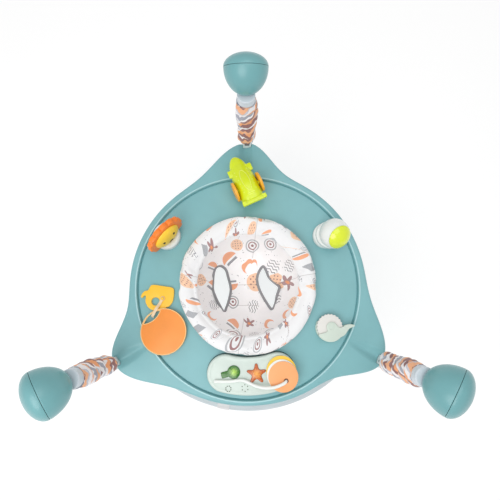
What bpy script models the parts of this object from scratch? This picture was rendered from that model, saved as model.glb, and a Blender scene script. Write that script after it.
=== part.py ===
"""Baby activity jumper: a three-lobed play tray with a turning fabric seat, hung on springs from three posts.

Metres, +Z up. The origin is the middle of the outline at floor level. The front, where the light
panel lies, faces -Y, and one post stands at the back. Everything is laid out round the seat's axis.
"""

import math

import bmesh
import bpy
from mathutils import Euler, Matrix, Vector

for old in list(bpy.data.objects):
    bpy.data.objects.remove(old)

# Clearances
SEAT_GAP = 0.0003
RUNNING_GAP = 0.0006

# Frame: base ring, posts and feet
POST_COUNT = 3
TRAY_TOP_Z = 0.450
TRAY_HOLE_RADIUS = 0.186
PLAY_WIDTH = 0.129
RIM_WIDTH = 0.023
LOBE_REACH = 0.092
HANGER_INSET = 0.010
POST_SETBACK = 0.048
TRAY_RIM_INNER = TRAY_HOLE_RADIUS + PLAY_WIDTH
TRAY_SIDE_RADIUS = TRAY_RIM_INNER + RIM_WIDTH
TRAY_TIP_RADIUS = TRAY_SIDE_RADIUS + LOBE_REACH
HANGER_AT = TRAY_TIP_RADIUS - HANGER_INSET
FIRST_POST_ANGLE = math.radians(90.0)
POST_RADIUS_AT = HANGER_AT + POST_SETBACK
POST_TUBE_RADIUS = 0.016
TUBE_WALL = 0.0015
POST_TOP_Z = 0.765
BASE_TUBE_RADIUS = 0.016
ARC_INSET = 0.033
BASE_ARC_MIDDLE_AT = POST_RADIUS_AT - ARC_INSET
BASE_TUBE_Z = 0.030
COUPLER_LENGTH = 0.048
COUPLER_WALL = 0.0025
COUPLER_OFFSET = -0.096
FOOT_RADIUS = 0.036
FOOT_HEIGHT = 0.085
FOOT_SOCKET_DEPTH = 0.040
FOOT_SLEEVE_WALL = 0.004
PAD_THICKNESS = 0.005
PAD_RADIUS = 0.026

# Spring housings, egg shaped, with their blunt end turned outward and up
HOUSING_TILT = math.radians(27.0)
HOUSING_RADIUS = 0.051
HOUSING_CAP_LENGTH = 0.030
HOUSING_BODY_LENGTH = 0.060
HOUSING_WALL = 0.0025
HOUSING_SEAM_AT = POST_RADIUS_AT - 0.0025
HOUSING_SEAM_Z = 0.756

# Suspension: neck, hanger pin, spring, strap, fabric cover and clip on one upright line
NECK_RADIUS = 0.0215
NECK_WALL = 0.0030
NECK_TOP_Z = 0.722
NECK_LENGTH = 0.032
HANGER_Z = 0.712
HANGER_PIN_RADIUS = 0.0025
SPRING_RADIUS = 0.0090
SPRING_WIRE_RADIUS = 0.0013
SPRING_TURNS = 7
SPRING_HOOK_LENGTH = 0.016
STRAP_WIDTH = 0.014
STRAP_THICKNESS = 0.0018
STRAP_LAP = 0.008
COVER_RADIUS = 0.0240
COVER_BORE = 0.0195
COVER_FOLD = 0.0030
COVER_GATHERS = 8
COVER_OVERLAP = 0.010
CLIP_WIDTH = 0.024
CLIP_THICKNESS = 0.0095
CLIP_RISE = 0.026
CLIP_FORK_WIDTH = 0.010
CLIP_BAR_WIDTH = 0.030
CLIP_BAR_HEIGHT = 0.004
CLIP_BAR_DROP = 0.0045

# Tray
TRAY_LOBE_SPREAD = math.radians(10.5)
TRAY_RIM_RISE = 0.007
TRAY_GROOVE_DEPTH = 0.004
TRAY_GROOVE_WIDTH = 0.006
TRAY_EDGE_ROUND = 0.009
TRAY_DEPTH = 0.036
TRAY_WALL = 0.003
TRAY_COLLAR_DEPTH = 0.030
VALLEY_DEPTH = 0.007
VALLEY_WIDTH = 0.020

# Seat
SEAT_RING_INNER = TRAY_HOLE_RADIUS - 0.020
SEAT_RING_FLANGE = 0.007
SEAT_RING_FLANGE_THICKNESS = 0.004
SEAT_PAD_RADIUS = TRAY_HOLE_RADIUS + 0.008
SEAT_PAD_THICKNESS = 0.034
SEAT_PAD_WIDTH = 0.046
POUCH_WALL = 0.004
POUCH_FLOOR_RADIUS = SEAT_RING_INNER - 0.048
POUCH_FLOOR_Z = 0.262
LEG_HOLE_LENGTH = SEAT_RING_INNER - 0.016
LEG_HOLE_WIDTH = 0.062
LEG_HOLE_SPACING = POUCH_FLOOR_RADIUS + 0.040

# Toys on the tray: each stands at a radius and an angle round the seat's axis
RACER_AT = TRAY_RIM_INNER - 0.020
RACER_ANGLE = math.radians(91.3)
RACER_HEADING = math.radians(114.5)
RACER_LENGTH = 0.150
RACER_WIDTH = 0.067
RACER_HEIGHT = 0.034
RACER_LIFT = 0.030
RACER_BASE_RADIUS = 0.019
RACER_PIVOT_Z = TRAY_TOP_Z + 0.020
RACER_PIN_RADIUS = 0.003
TAIL_BAR_WIDTH = 0.073
TAIL_BAR_LENGTH = 0.012
WHEEL_RADIUS = 0.029
WHEEL_THICKNESS = 0.007
WHEEL_AT = -0.020
TAB_AT = 0.033
TAB_LENGTH = 0.022
LION_AT = TRAY_HOLE_RADIUS + 0.671 * PLAY_WIDTH
LION_ANGLE = math.radians(149.0)
LION_HEADING = math.radians(-42.0)
LION_BASE_RADIUS = 0.0395
LION_BASE_HEIGHT = 0.020
LION_MANE_RADIUS = 0.058
LION_MANE_SCALLOP = 0.005
LION_SCALLOPS = 14
LION_FACE_RADIUS = 0.041
LION_MANE_THICKNESS = 0.016
LION_MANE_RISE = 0.030
LION_FACE_DEPTH = 0.0145
LION_FACE_RISE = 0.035
LION_FACE_OUT = 0.015
LION_LEAN = math.radians(2.0)
DOME_AT = TRAY_HOLE_RADIUS + 0.618 * PLAY_WIDTH
DOME_ANGLE = math.radians(31.6)
DOME_HEADING = math.radians(-56.0)
DOME_OFFSET = (0.0115, 0.0118)
DOME_COLLAR_RADIUS = 0.0395
DOME_COLLAR_HEIGHT = 0.018
DOME_BASE_RADIUS = 0.037
DOME_BASE_HEIGHT = 0.018
DOME_RADIUS = 0.042
VISOR_WALL = 0.002
VISOR_ROWS = 4
VISOR_HALF_ANGLE = math.radians(50.0)
VISOR_LEAN = math.radians(43.0)
SNAIL_AT = TRAY_HOLE_RADIUS + 0.5446 * PLAY_WIDTH
SNAIL_ANGLE = math.radians(-28.0)
SNAIL_BODY_THICKNESS = 0.008
SNAIL_SHELL_RADIUS = 0.036
SNAIL_SHELL_THICKNESS = 0.010
SNAIL_COVER_THICKNESS = 0.004
SNAIL_HEAD_LIFT = TRAY_RIM_RISE + 0.001
SNAIL_HEAD_FROM = 0.050
SNAIL_HUB_RADIUS = 0.006
ELEPHANT_AT = TRAY_HOLE_RADIUS + 0.543 * PLAY_WIDTH
ELEPHANT_ANGLE = math.radians(188.0)
ELEPHANT_THICKNESS = 0.0068
ELEPHANT_HOLE_RADIUS = 0.0115
LINK_STRAP_WIDTH = 0.008
LINK_STRAP_THICKNESS = 0.002
TEETHER_AT = TRAY_HOLE_RADIUS + 0.636 * PLAY_WIDTH
TEETHER_ANGLE = math.radians(209.0)
TEETHER_RADIUS = 0.064
TEETHER_THICKNESS = 0.006
TEETHER_SLOT_INSET = 0.004
TEETHER_SLOT_WIDTH = 0.018
TEETHER_SLOT_CHORD = 0.058
STRAP_RISE = 0.029
STRAP_DROP = 0.0075

# Light panel, a band bent round the seat with round ends
PANEL_ANGLE = math.radians(-88.0)
PANEL_AT = TRAY_HOLE_RADIUS + 0.493 * PLAY_WIDTH
PANEL_WIDTH = 0.100
PANEL_HALF_ANGLE = math.radians(16.4)
PANEL_HEIGHT = 0.022
PANEL_EDGE_ROUND = 0.006
BUTTON_TRAVEL = 0.002
BUTTON_RISE = 0.0022
BUTTON_DEPTH = 0.012
BUTTON_GAP = 0.0005
BULB_AT = (-0.0472, 0.0135)
BULB_RADIUS = 0.0170
BULB_STEM_LENGTH = 0.021
BULB_STEM_WIDTH = 0.015
BULB_TURN = math.radians(13.0)
STAR_AT = (0.0141, 0.0065)
STAR_RADIUS = 0.0250
STAR_INNER_RADIUS = 0.0135
PAGE_THICKNESS = 0.0024
PAGE_SPACING = 0.0030
PAGE_PIN_AT = (0.0922, -0.0129)
PAGE_PIN_RADIUS = 0.0030
PAGE_HOLE_RADIUS = 0.0042
PAGE_RADII = (0.0405, 0.0405, 0.0400)
PAGE_OFFSETS = ((-0.0110, 0.0242), (-0.0102, 0.0149), (-0.0070, 0.0105))
ROD_RADIUS = 0.0042

PLASTIC_TEAL = (0.30, 0.52, 0.54)
PLASTIC_WHITE = (0.70, 0.73, 0.72)
PLASTIC_GREY = (0.58, 0.61, 0.64)
PLASTIC_MINT = (0.66, 0.76, 0.71)
PLASTIC_LIME = (0.70, 0.83, 0.05)
PLASTIC_YELLOW = (0.95, 0.60, 0.06)
PLASTIC_ORANGE = (0.94, 0.33, 0.08)
PLASTIC_PEACH = (0.98, 0.50, 0.22)
PLASTIC_GREEN = (0.10, 0.42, 0.03)
FABRIC_CREAM = (0.70, 0.71, 0.68)
FABRIC_GREY = (0.12, 0.12, 0.13)
STEEL = (0.55, 0.55, 0.56)
RUBBER = (0.06, 0.06, 0.06)


def polar(radius, angle, z=0.0):
    """A point at a radius and an angle round +Z."""
    return Vector((radius * math.cos(angle), radius * math.sin(angle), z))


def material(name, colour, roughness=0.4, metallic=0.0):
    """A plain Principled material, made once for each name."""
    found = bpy.data.materials.get(name)
    if found:
        return found
    made = bpy.data.materials.new(name)
    made.use_nodes = True
    shader = made.node_tree.nodes["Principled BSDF"]
    shader.inputs["Base Color"].default_value = (*colour, 1.0)
    shader.inputs["Roughness"].default_value = roughness
    shader.inputs["Metallic"].default_value = metallic
    return made


def empty(name, location=(0, 0, 0), rotation=(0, 0, 0), parent=None):
    """A guide that pieces are placed by."""
    made = bpy.data.objects.new(name, None)
    made.location = location
    made.rotation_euler = rotation
    made.parent = parent
    bpy.context.collection.objects.link(made)
    return made


def finish(name, bm, finish_material, parent, location=(0, 0, 0), rotation=(0, 0, 0), sharp=35.0):
    """Closes the modelling of one piece: normals out, smooth faces with sharp edges kept."""
    bmesh.ops.recalc_face_normals(bm, faces=bm.faces)
    mesh = bpy.data.meshes.new(name)
    bm.to_mesh(mesh)
    bm.free()
    mesh.shade_smooth()
    mesh.set_sharp_from_angle(angle=math.radians(sharp))
    made = bpy.data.objects.new(name, mesh)
    if finish_material:
        mesh.materials.append(finish_material)
    made.parent = parent
    made.location = location
    made.rotation_euler = rotation
    bpy.context.collection.objects.link(made)
    return made


def skin(bm, rings, wrap=False, caps=True):
    """Joins rings of equal point count with quads; wrap joins the last ring to the first."""
    rows = [[bm.verts.new(p) for p in ring] for ring in rings]
    pairs = list(zip(rows, rows[1:]))
    if wrap:
        pairs.append((rows[-1], rows[0]))
    count = len(rows[0])
    for lower, upper in pairs:
        for i in range(count):
            j = (i + 1) % count
            bm.faces.new((lower[i], lower[j], upper[j], upper[i]))
    if caps and not wrap:
        bm.faces.new(rows[0])
        bm.faces.new(rows[-1])
    return rows


def turned(bm, profile, segments=32, closed=False, centre=(0, 0)):
    """Turns a profile of (radius, z) round +Z; points on the axis become poles."""
    rings = []
    for radius, z in profile:
        rings.append([
            Vector((centre[0], centre[1], 0)) + polar(radius, 2 * math.pi * i / segments, z)
            for i in range(segments)
        ])
    skin(bm, rings, wrap=closed, caps=False)
    bmesh.ops.remove_doubles(bm, verts=bm.verts, dist=1e-5)


def disc(bm, radius, z_low, z_high, round_over=0.0, segments=32, centre=(0, 0)):
    """A solid disc with its upper and lower edges rounded."""
    r = round_over
    profile = [(0, z_low), (radius - r, z_low)]
    if r:
        profile += [(radius - 0.3 * r, z_low + 0.3 * r), (radius, z_low + r), (radius, z_high - r)]
        profile += [(radius - 0.3 * r, z_high - 0.3 * r)]
    profile += [(radius - r, z_high), (0, z_high)]
    if not r:
        profile = [(0, z_low), (radius, z_low), (radius, z_high), (0, z_high)]
    turned(bm, profile, segments, centre=centre)


def prism(bm, outline, z_low, z_high, round_over=0.0):
    """An outline of (x, y) raised between two heights, its upper edge drawn in by round_over."""
    middle = Vector((sum(p[0] for p in outline), sum(p[1] for p in outline))) / len(outline)
    rings = [[Vector((x, y, z_low)) for x, y in outline]]
    if round_over:
        rings.append([Vector((x, y, z_high - round_over)) for x, y in outline])
        drawn = []
        for x, y in outline:
            inward = (middle - Vector((x, y))).normalized() * round_over
            drawn.append(Vector((x + inward.x, y + inward.y, z_high)))
        rings.append(drawn)
    else:
        rings.append([Vector((x, y, z_high)) for x, y in outline])
    skin(bm, rings)


def tube(bm, points, radius, sides=10, bore=0.0):
    """A round bar or pipe along points, its rings square to the path; radius is one size or a list."""
    radii = radius if isinstance(radius, list) else [radius] * len(points)

    def rings_of(sizes):
        rings = []
        normal = None
        for i, point in enumerate(points):
            ahead = points[min(i + 1, len(points) - 1)] - points[max(i - 1, 0)]
            ahead.normalize()
            if normal is None:
                normal = Vector((0, 0, 1)) if abs(ahead.z) < 0.9 else Vector((1, 0, 0))
            normal = (normal - ahead * normal.dot(ahead)).normalized()
            across = ahead.cross(normal)
            rings.append([
                point + normal * sizes[i] * math.cos(2 * math.pi * k / sides)
                + across * sizes[i] * math.sin(2 * math.pi * k / sides)
                for k in range(sides)
            ])
        return rings

    if bore:
        skin(bm, rings_of(radii) + rings_of([bore] * len(points))[::-1], wrap=True)
    else:
        skin(bm, rings_of(radii))


def cut(target, bm, name, parent, location=(0, 0, 0), rotation=(0, 0, 0)):
    """Takes a shape away from a piece with an exact Boolean."""
    cutter = finish(name, bm, None, parent, location, rotation)
    cutter.hide_render = True
    cutter.display_type = "WIRE"
    boolean = target.modifiers.new(name, "BOOLEAN")
    boolean.operation = "DIFFERENCE"
    boolean.solver = "EXACT"
    boolean.object = cutter
    return cutter


def fuse(target, bm, name, parent, location=(0, 0, 0), rotation=(0, 0, 0)):
    """Adds a shape to a piece with an exact Boolean."""
    added = cut(target, bm, name, parent, location, rotation)
    target.modifiers[-1].operation = "UNION"
    return added


TEAL = material("teal plastic", PLASTIC_TEAL, 0.38)
WHITE = material("white plastic", PLASTIC_WHITE, 0.35)
GREY = material("grey plastic", PLASTIC_GREY, 0.4)
MINT = material("mint plastic", PLASTIC_MINT, 0.35)
LIME = material("lime plastic", PLASTIC_LIME, 0.3)
YELLOW = material("yellow plastic", PLASTIC_YELLOW, 0.35)
ORANGE = material("orange plastic", PLASTIC_ORANGE, 0.35)
PEACH = material("peach plastic", PLASTIC_PEACH, 0.4)
GREEN = material("green plastic", PLASTIC_GREEN, 0.25)
CREAM = material("cream fabric", FABRIC_CREAM, 0.9)
WEBBING = material("dark webbing", FABRIC_GREY, 0.9)
SPRING_STEEL = material("spring steel", STEEL, 0.3, 1.0)
BLACK_RUBBER = material("rubber", RUBBER, 0.85)

# The outline reaches from the back housing to the front of the base ring; the seat's axis is set
# back from the middle of that reach.
HOUSING_REACH = math.hypot(
    HOUSING_CAP_LENGTH * math.cos(HOUSING_TILT), HOUSING_RADIUS * math.sin(HOUSING_TILT)
)
BACK_REACH = HOUSING_SEAM_AT + HOUSING_REACH
FRONT_REACH = BASE_ARC_MIDDLE_AT + BASE_TUBE_RADIUS
AXIS_Y = (FRONT_REACH - BACK_REACH) / 2
seat_axis = empty("seat_axis", (0, AXIS_Y, 0))
stations = [
    empty(
        f"post_station_{i + 1}",
        rotation=(0, 0, FIRST_POST_ANGLE + 2 * math.pi * i / POST_COUNT),
        parent=seat_axis,
    )
    for i in range(POST_COUNT)
]

# Base ring: three tubes, each an arc between two feet
HALF_CHORD = POST_RADIUS_AT * math.sin(math.pi / POST_COUNT)
ARC_RISE = BASE_ARC_MIDDLE_AT - POST_RADIUS_AT * math.cos(math.pi / POST_COUNT)
ARC_RADIUS = (HALF_CHORD ** 2 + ARC_RISE ** 2) / (2 * ARC_RISE)
ARC_HALF_ANGLE = math.asin(HALF_CHORD / ARC_RADIUS)
ARC_CENTRE = BASE_ARC_MIDDLE_AT - ARC_RADIUS
TUBE_STOP = POST_TUBE_RADIUS + 0.004
ARC_STEPS = 8
TUBE_SIDES = 8


def arc_point(angle):
    """A point of the base ring's tube, in its arc's own frame, where +X is the arc's middle."""
    return Vector((ARC_CENTRE + ARC_RADIUS * math.cos(angle), ARC_RADIUS * math.sin(angle), BASE_TUBE_Z))


def arc_between(low, high, steps):
    """Points along the base ring from one angle to another."""
    return [arc_point(low + (high - low) * i / steps) for i in range(steps + 1)]


arc_frames = [
    empty(
        f"base_arc_{i + 1}",
        rotation=(0, 0, FIRST_POST_ANGLE + 2 * math.pi * (i + 0.5) / POST_COUNT),
        parent=seat_axis,
    )
    for i in range(POST_COUNT)
]
TUBE_END_ANGLE = ARC_HALF_ANGLE - TUBE_STOP / ARC_RADIUS
# The locking collar is a raised band on each tube, a little to one side of the middle
COLLAR_MIDDLE = COUPLER_OFFSET / ARC_RADIUS
COLLAR_HALF = COUPLER_LENGTH / 2 / ARC_RADIUS
COLLAR_STEP = COUPLER_WALL / 4 / ARC_RADIUS
for i, frame in enumerate(arc_frames):
    stops = [
        (angle, BASE_TUBE_RADIUS)
        for angle in (TUBE_END_ANGLE * (2 * k / ARC_STEPS - 1) for k in range(ARC_STEPS + 1))
        if abs(angle - COLLAR_MIDDLE) > COLLAR_HALF + 2 * COLLAR_STEP
    ]
    for side in (-1, 1):
        edge = COLLAR_MIDDLE + side * COLLAR_HALF
        stops.append((edge + side * COLLAR_STEP, BASE_TUBE_RADIUS))
        stops.append((edge, BASE_TUBE_RADIUS + COUPLER_WALL))
    stops.sort()
    bm = bmesh.new()
    tube(
        bm, [arc_point(angle) for angle, _ in stops], [radius for _, radius in stops],
        TUBE_SIDES, BASE_TUBE_RADIUS - TUBE_WALL,
    )
    finish(f"base_tube_{i + 1}", bm, GREY, frame)

# Feet: moulded corner sockets that take two base tubes and the post
for i, station in enumerate(stations):
    at = POST_RADIUS_AT
    bm = bmesh.new()
    low, high = PAD_THICKNESS + SEAT_GAP, FOOT_HEIGHT
    shoulder = BASE_TUBE_Z + BASE_TUBE_RADIUS + 0.006
    profile = [
        (0, low), (FOOT_RADIUS - 0.003, low), (FOOT_RADIUS, low + 0.003), (FOOT_RADIUS, shoulder),
        (FOOT_RADIUS - 0.008, shoulder + 0.010), (POST_TUBE_RADIUS + 0.006, high - 0.004),
        (POST_TUBE_RADIUS + 0.003, high), (0, high),
    ]
    turned(bm, profile, 16, centre=(at, 0))
    foot = finish(f"foot_{i + 1}", bm, WHITE, station)
    for side in (-1, 1):
        turn = Matrix.Rotation(-side * math.pi / POST_COUNT, 4, "Z")
        before, end = (
            turn @ Vector((p.x, side * p.y, p.z))
            for p in (arc_point(TUBE_END_ANGLE * (1 - 2 / ARC_STEPS)), arc_point(TUBE_END_ANGLE))
        )
        along = (end - before).normalized()
        mouth = end - along * FOOT_SOCKET_DEPTH
        bm = bmesh.new()
        tube(bm, [mouth, end], BASE_TUBE_RADIUS + FOOT_SLEEVE_WALL, TUBE_SIDES)
        fuse(foot, bm, f"foot_{i + 1}_sleeve_{side}", station)
        bm = bmesh.new()
        tube(bm, [mouth - along * 0.01, end + along * SEAT_GAP], BASE_TUBE_RADIUS + SEAT_GAP, TUBE_SIDES)
        cut(foot, bm, f"foot_{i + 1}_bore_{side}", station)
    bm = bmesh.new()
    disc(bm, POST_TUBE_RADIUS + SEAT_GAP, BASE_TUBE_Z - 0.006, high + 0.01, segments=16)
    cut(foot, bm, f"foot_{i + 1}_post_bore", station, (at, 0, 0))

    bm = bmesh.new()
    disc(bm, PAD_RADIUS, 0.0, PAD_THICKNESS, segments=16)
    finish(f"foot_pad_{i + 1}", bm, BLACK_RUBBER, station, (at, 0, 0))

    bm = bmesh.new()
    outer, inner = POST_TUBE_RADIUS, POST_TUBE_RADIUS - TUBE_WALL
    foot_of_post = BASE_TUBE_Z - 0.006 + SEAT_GAP
    pipe = [(outer, foot_of_post), (outer, POST_TOP_Z), (inner, POST_TOP_Z), (inner, foot_of_post)]
    turned(bm, pipe, 16, closed=True)
    finish(f"post_{i + 1}", bm, GREY, station, (at, 0, 0))

# Spring housings: two moulded shells that meet at the seam, turned about the tilted egg's axis
HOUSING_SIDES = 16
CAP_ROWS = 4
BODY_ROWS = 6
SEAM = Vector((HOUSING_SEAM_AT, 0, HOUSING_SEAM_Z))
EGG_TURN = Euler((0, math.pi / 2 - HOUSING_TILT, 0))


def shell_profile(radius, depth, steps):
    """A quarter of an ellipse from the pole to the seam; a negative depth runs the other way."""
    return [
        (radius * math.sin(math.pi / 2 * i / steps), depth * math.cos(math.pi / 2 * i / steps))
        for i in range(steps + 1)
    ]


for i, station in enumerate(stations):
    lip = SEAT_GAP / 2
    inner_cap = shell_profile(HOUSING_RADIUS - HOUSING_WALL, HOUSING_CAP_LENGTH - HOUSING_WALL, CAP_ROWS)
    outer_cap = shell_profile(HOUSING_RADIUS, HOUSING_CAP_LENGTH, CAP_ROWS)
    bm = bmesh.new()
    raised = [(r, max(z, lip)) for r, z in outer_cap + inner_cap[::-1]]
    turned(bm, raised, HOUSING_SIDES)
    finish(f"housing_cap_{i + 1}", bm, TEAL, station, SEAM, EGG_TURN)

    bm = bmesh.new()
    outer_body = shell_profile(HOUSING_RADIUS, -HOUSING_BODY_LENGTH, BODY_ROWS)
    inner_body = shell_profile(HOUSING_RADIUS - HOUSING_WALL, HOUSING_WALL - HOUSING_BODY_LENGTH, BODY_ROWS)
    lowered = [(r, min(z, -lip)) for r, z in outer_body + inner_body[::-1]]
    turned(bm, lowered, HOUSING_SIDES)
    body = finish(f"housing_body_{i + 1}", bm, TEAL, station, SEAM, EGG_TURN)
    bm = bmesh.new()
    disc(bm, POST_TUBE_RADIUS + SEAT_GAP, HOUSING_SEAM_Z - HOUSING_RADIUS - 0.02, POST_TOP_Z + 0.004, segments=16)
    cut(body, bm, f"housing_{i + 1}_post_bore", station, (POST_RADIUS_AT, 0, 0))
    bm = bmesh.new()
    disc(bm, NECK_RADIUS + SEAT_GAP, NECK_TOP_Z - NECK_LENGTH - 0.01, NECK_TOP_Z + SEAT_GAP, segments=16)
    cut(body, bm, f"housing_{i + 1}_neck_bore", station, (HANGER_AT, 0, 0))

    # The neck is a short ring under the housing, with the hanger pin across it
    bm = bmesh.new()
    bottom = NECK_TOP_Z - NECK_LENGTH
    bore = NECK_RADIUS - NECK_WALL
    ring = [(NECK_RADIUS, bottom), (NECK_RADIUS, NECK_TOP_Z), (bore, NECK_TOP_Z), (bore, bottom)]
    turned(bm, ring, 16, closed=True)
    neck = finish(f"spring_neck_{i + 1}", bm, GREY, station, (HANGER_AT, 0, 0))
    bm = bmesh.new()
    disc(bm, HANGER_PIN_RADIUS, -NECK_RADIUS + NECK_WALL / 2, NECK_RADIUS - NECK_WALL / 2, segments=8)
    fuse(neck, bm, f"neck_{i + 1}_pin", station, (HANGER_AT, 0, HANGER_Z), (math.pi / 2, 0, 0))

# Clip: a flat tongue that stands in the tray's slot, held by a bar below and an eye above
SLOT_GAP = 0.0004
ROUND_SIDES = 16
NECK_BORE_FLAT = (NECK_RADIUS - NECK_WALL) * math.cos(math.pi / ROUND_SIDES) - SEAT_GAP
STRAP_INSET = math.sqrt(NECK_BORE_FLAT ** 2 - (STRAP_WIDTH / 2) ** 2) - STRAP_THICKNESS / 2
VALLEY_FLOOR_Z = TRAY_TOP_Z + TRAY_RIM_RISE - VALLEY_DEPTH
CLIP_TOP_Z = VALLEY_FLOOR_Z + CLIP_RISE
CLIP_BAR_TOP_Z = VALLEY_FLOOR_Z - TRAY_WALL - CLIP_BAR_DROP
CLIP_EYE_Z = CLIP_TOP_Z - 0.0065
NECK_BOTTOM_Z = NECK_TOP_Z - NECK_LENGTH


def box(bm, size, centre):
    """A plain block, used for slots and tongues."""
    made = bmesh.ops.create_cube(bm, size=1.0)
    bmesh.ops.scale(bm, vec=size, verts=made["verts"])
    bmesh.ops.translate(bm, vec=centre, verts=made["verts"])


def rounded_rectangle(width, height, corner, steps=4):
    """An outline of (x, y) with its four corners as arcs."""
    points = []
    for k, (sx, sy) in enumerate(((1, 1), (-1, 1), (-1, -1), (1, -1))):
        for i in range(steps + 1):
            angle = math.pi / 2 * (k + i / steps)
            points.append((
                sx * (width / 2 - corner) + corner * math.cos(angle),
                sy * (height / 2 - corner) + corner * math.sin(angle),
            ))
    return points


def coil_points():
    """The spring as one line: a hook over the pin, a straight shank, the turns, a shank and a hook."""
    hook = HANGER_PIN_RADIUS + SPRING_WIRE_RADIUS + SEAT_GAP
    top, low = HANGER_Z - SPRING_HOOK_LENGTH, CLIP_EYE_Z + SPRING_HOOK_LENGTH
    points = []
    for k in range(5):
        angle = math.radians(200) - math.radians(200) * k / 4
        points.append(Vector((hook * math.cos(angle), 0, HANGER_Z + hook * math.sin(angle))))
    turns = SPRING_TURNS * 8
    for k in range(turns + 1):
        angle = 2 * math.pi * k / 8
        points.append(Vector((
            SPRING_RADIUS * math.cos(angle), SPRING_RADIUS * math.sin(angle), top + (low - top) * k / turns,
        )))
    for k in range(5):
        angle = -math.radians(200) * k / 4
        points.append(Vector((hook * math.cos(angle), 0, CLIP_EYE_Z + hook * math.sin(angle))))
    return points


def least_gap(points, radius, skip):
    """The smallest clear distance between stretches of one wire that aren't neighbours."""
    least = 1.0
    for i in range(len(points)):
        for j in range(i + skip, len(points)):
            least = min(least, (points[i] - points[j]).length - 2 * radius)
    return least


def round_curve(name, points, radius, finish_material, parent, resolution=1):
    """A round wire along the points, as a curve with filled ends."""
    curve = bpy.data.curves.new(name, "CURVE")
    curve.dimensions = "3D"
    curve.bevel_depth = radius
    curve.bevel_resolution = resolution
    curve.render_resolution_u = 0
    curve.use_fill_caps = True
    spline = curve.splines.new("POLY")
    spline.points.add(len(points) - 1)
    for target, point in zip(spline.points, points):
        target.co = (*point, 1.0)
    curve.materials.append(finish_material)
    made = bpy.data.objects.new(name, curve)
    made.parent = parent
    bpy.context.collection.objects.link(made)
    return made


def gathered_sleeve(bm, top_z, low_z, columns=16, rows=11):
    """A fabric sleeve with gathers that climb round it, drawn in over the neck at its top end."""
    outer, inner = [], []
    below_neck = top_z - COVER_OVERLAP - 0.001
    heights = [top_z] + [below_neck + (low_z - below_neck) * k / (rows - 1) for k in range(rows)]
    for z in heights:
        share = (top_z - z) / (top_z - low_z)
        bore = NECK_RADIUS + SEAT_GAP if z >= below_neck else COVER_BORE
        swell = COVER_FOLD * math.sin(math.pi * (share * COVER_GATHERS * 2 + 0.5))
        ring_out, ring_in = [], []
        for k in range(columns):
            angle = 2 * math.pi * k / columns
            fold = COVER_FOLD * 0.45 * math.sin(5 * angle + 9 * share * math.pi)
            size = max(COVER_RADIUS + 0.5 * swell + fold, bore + 0.0015)
            ring_out.append(polar(size, angle, z))
            ring_in.append(polar(bore, angle, z))
        outer.append(ring_out)
        inner.append(ring_in)
    skin(bm, outer + inner[::-1], wrap=True)


for i, station in enumerate(stations):
    line = empty(f"spring_line_{i + 1}", (HANGER_AT, 0, 0), parent=station)
    wire = coil_points()
    if i == 0:
        print("least gap of the spring wire to itself, m:", round(least_gap(wire, SPRING_WIRE_RADIUS, 6), 5))
    round_curve(f"spring_{i + 1}", wire, SPRING_WIRE_RADIUS, SPRING_STEEL, line)

    # The strap lies against the neck's bore, runs down inside the cover and ends on the clip's tongue
    on_clip = CLIP_THICKNESS / 2 + SEAT_GAP + STRAP_THICKNESS / 2
    ribbon = [
        (-STRAP_INSET, HANGER_Z + 0.006), (-STRAP_INSET, CLIP_TOP_Z + 0.030),
        (-on_clip, CLIP_TOP_Z + 0.001), (-on_clip, CLIP_TOP_Z - STRAP_LAP),
    ]
    rings = [
        [Vector((x + dx * STRAP_THICKNESS / 2, dy * STRAP_WIDTH / 2, z))
         for dx, dy in ((-1, -1), (1, -1), (1, 1), (-1, 1))]
        for x, z in ribbon
    ]
    bm = bmesh.new()
    skin(bm, rings)
    finish(f"safety_strap_{i + 1}", bm, WEBBING, line)

    bm = bmesh.new()
    gathered_sleeve(bm, NECK_BOTTOM_Z + COVER_OVERLAP, CLIP_TOP_Z + 0.004)
    finish(f"spring_cover_{i + 1}", bm, CREAM, line, sharp=80)

    bm = bmesh.new()
    tongue = rounded_rectangle(CLIP_WIDTH, CLIP_TOP_Z - CLIP_BAR_TOP_Z + CLIP_BAR_HEIGHT, 0.003, 3)
    prism(bm, tongue, -CLIP_THICKNESS / 2, CLIP_THICKNESS / 2)
    turn_up = Matrix.Rotation(math.pi / 2, 4, "Z") @ Matrix.Rotation(math.pi / 2, 4, "X")
    bmesh.ops.transform(bm, matrix=turn_up, verts=bm.verts)
    centre_z = (CLIP_TOP_Z + CLIP_BAR_TOP_Z - CLIP_BAR_HEIGHT) / 2
    bmesh.ops.translate(bm, vec=(0, 0, centre_z), verts=bm.verts)
    clip = finish(f"spring_clip_{i + 1}", bm, WHITE, line)
    bm = bmesh.new()
    box(bm, (CLIP_THICKNESS - 0.002, CLIP_BAR_WIDTH, CLIP_BAR_HEIGHT), (-0.0012, 0, CLIP_BAR_TOP_Z - CLIP_BAR_HEIGHT / 2))
    fuse(clip, bm, f"clip_{i + 1}_bar", line)
    # The tongue is forked, and the spring's lower hook goes round the pin across the fork
    fork_low = CLIP_EYE_Z - HANGER_PIN_RADIUS - 2 * SPRING_WIRE_RADIUS - 0.002
    bm = bmesh.new()
    box(bm, (2 * CLIP_THICKNESS, CLIP_FORK_WIDTH, 0.03), (0, 0, fork_low + 0.015))
    cut(clip, bm, f"clip_{i + 1}_fork", line)
    bm = bmesh.new()
    disc(bm, HANGER_PIN_RADIUS, -CLIP_FORK_WIDTH / 2 - 0.002, CLIP_FORK_WIDTH / 2 + 0.002, segments=8)
    fuse(clip, bm, f"clip_{i + 1}_pin", line, (0, 0, CLIP_EYE_Z), (math.pi / 2, 0, 0))

# Tray: one moulded shell, its top a plate with a groove, a raised rim and three lobes
LOBE_COLUMNS = 16


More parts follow.
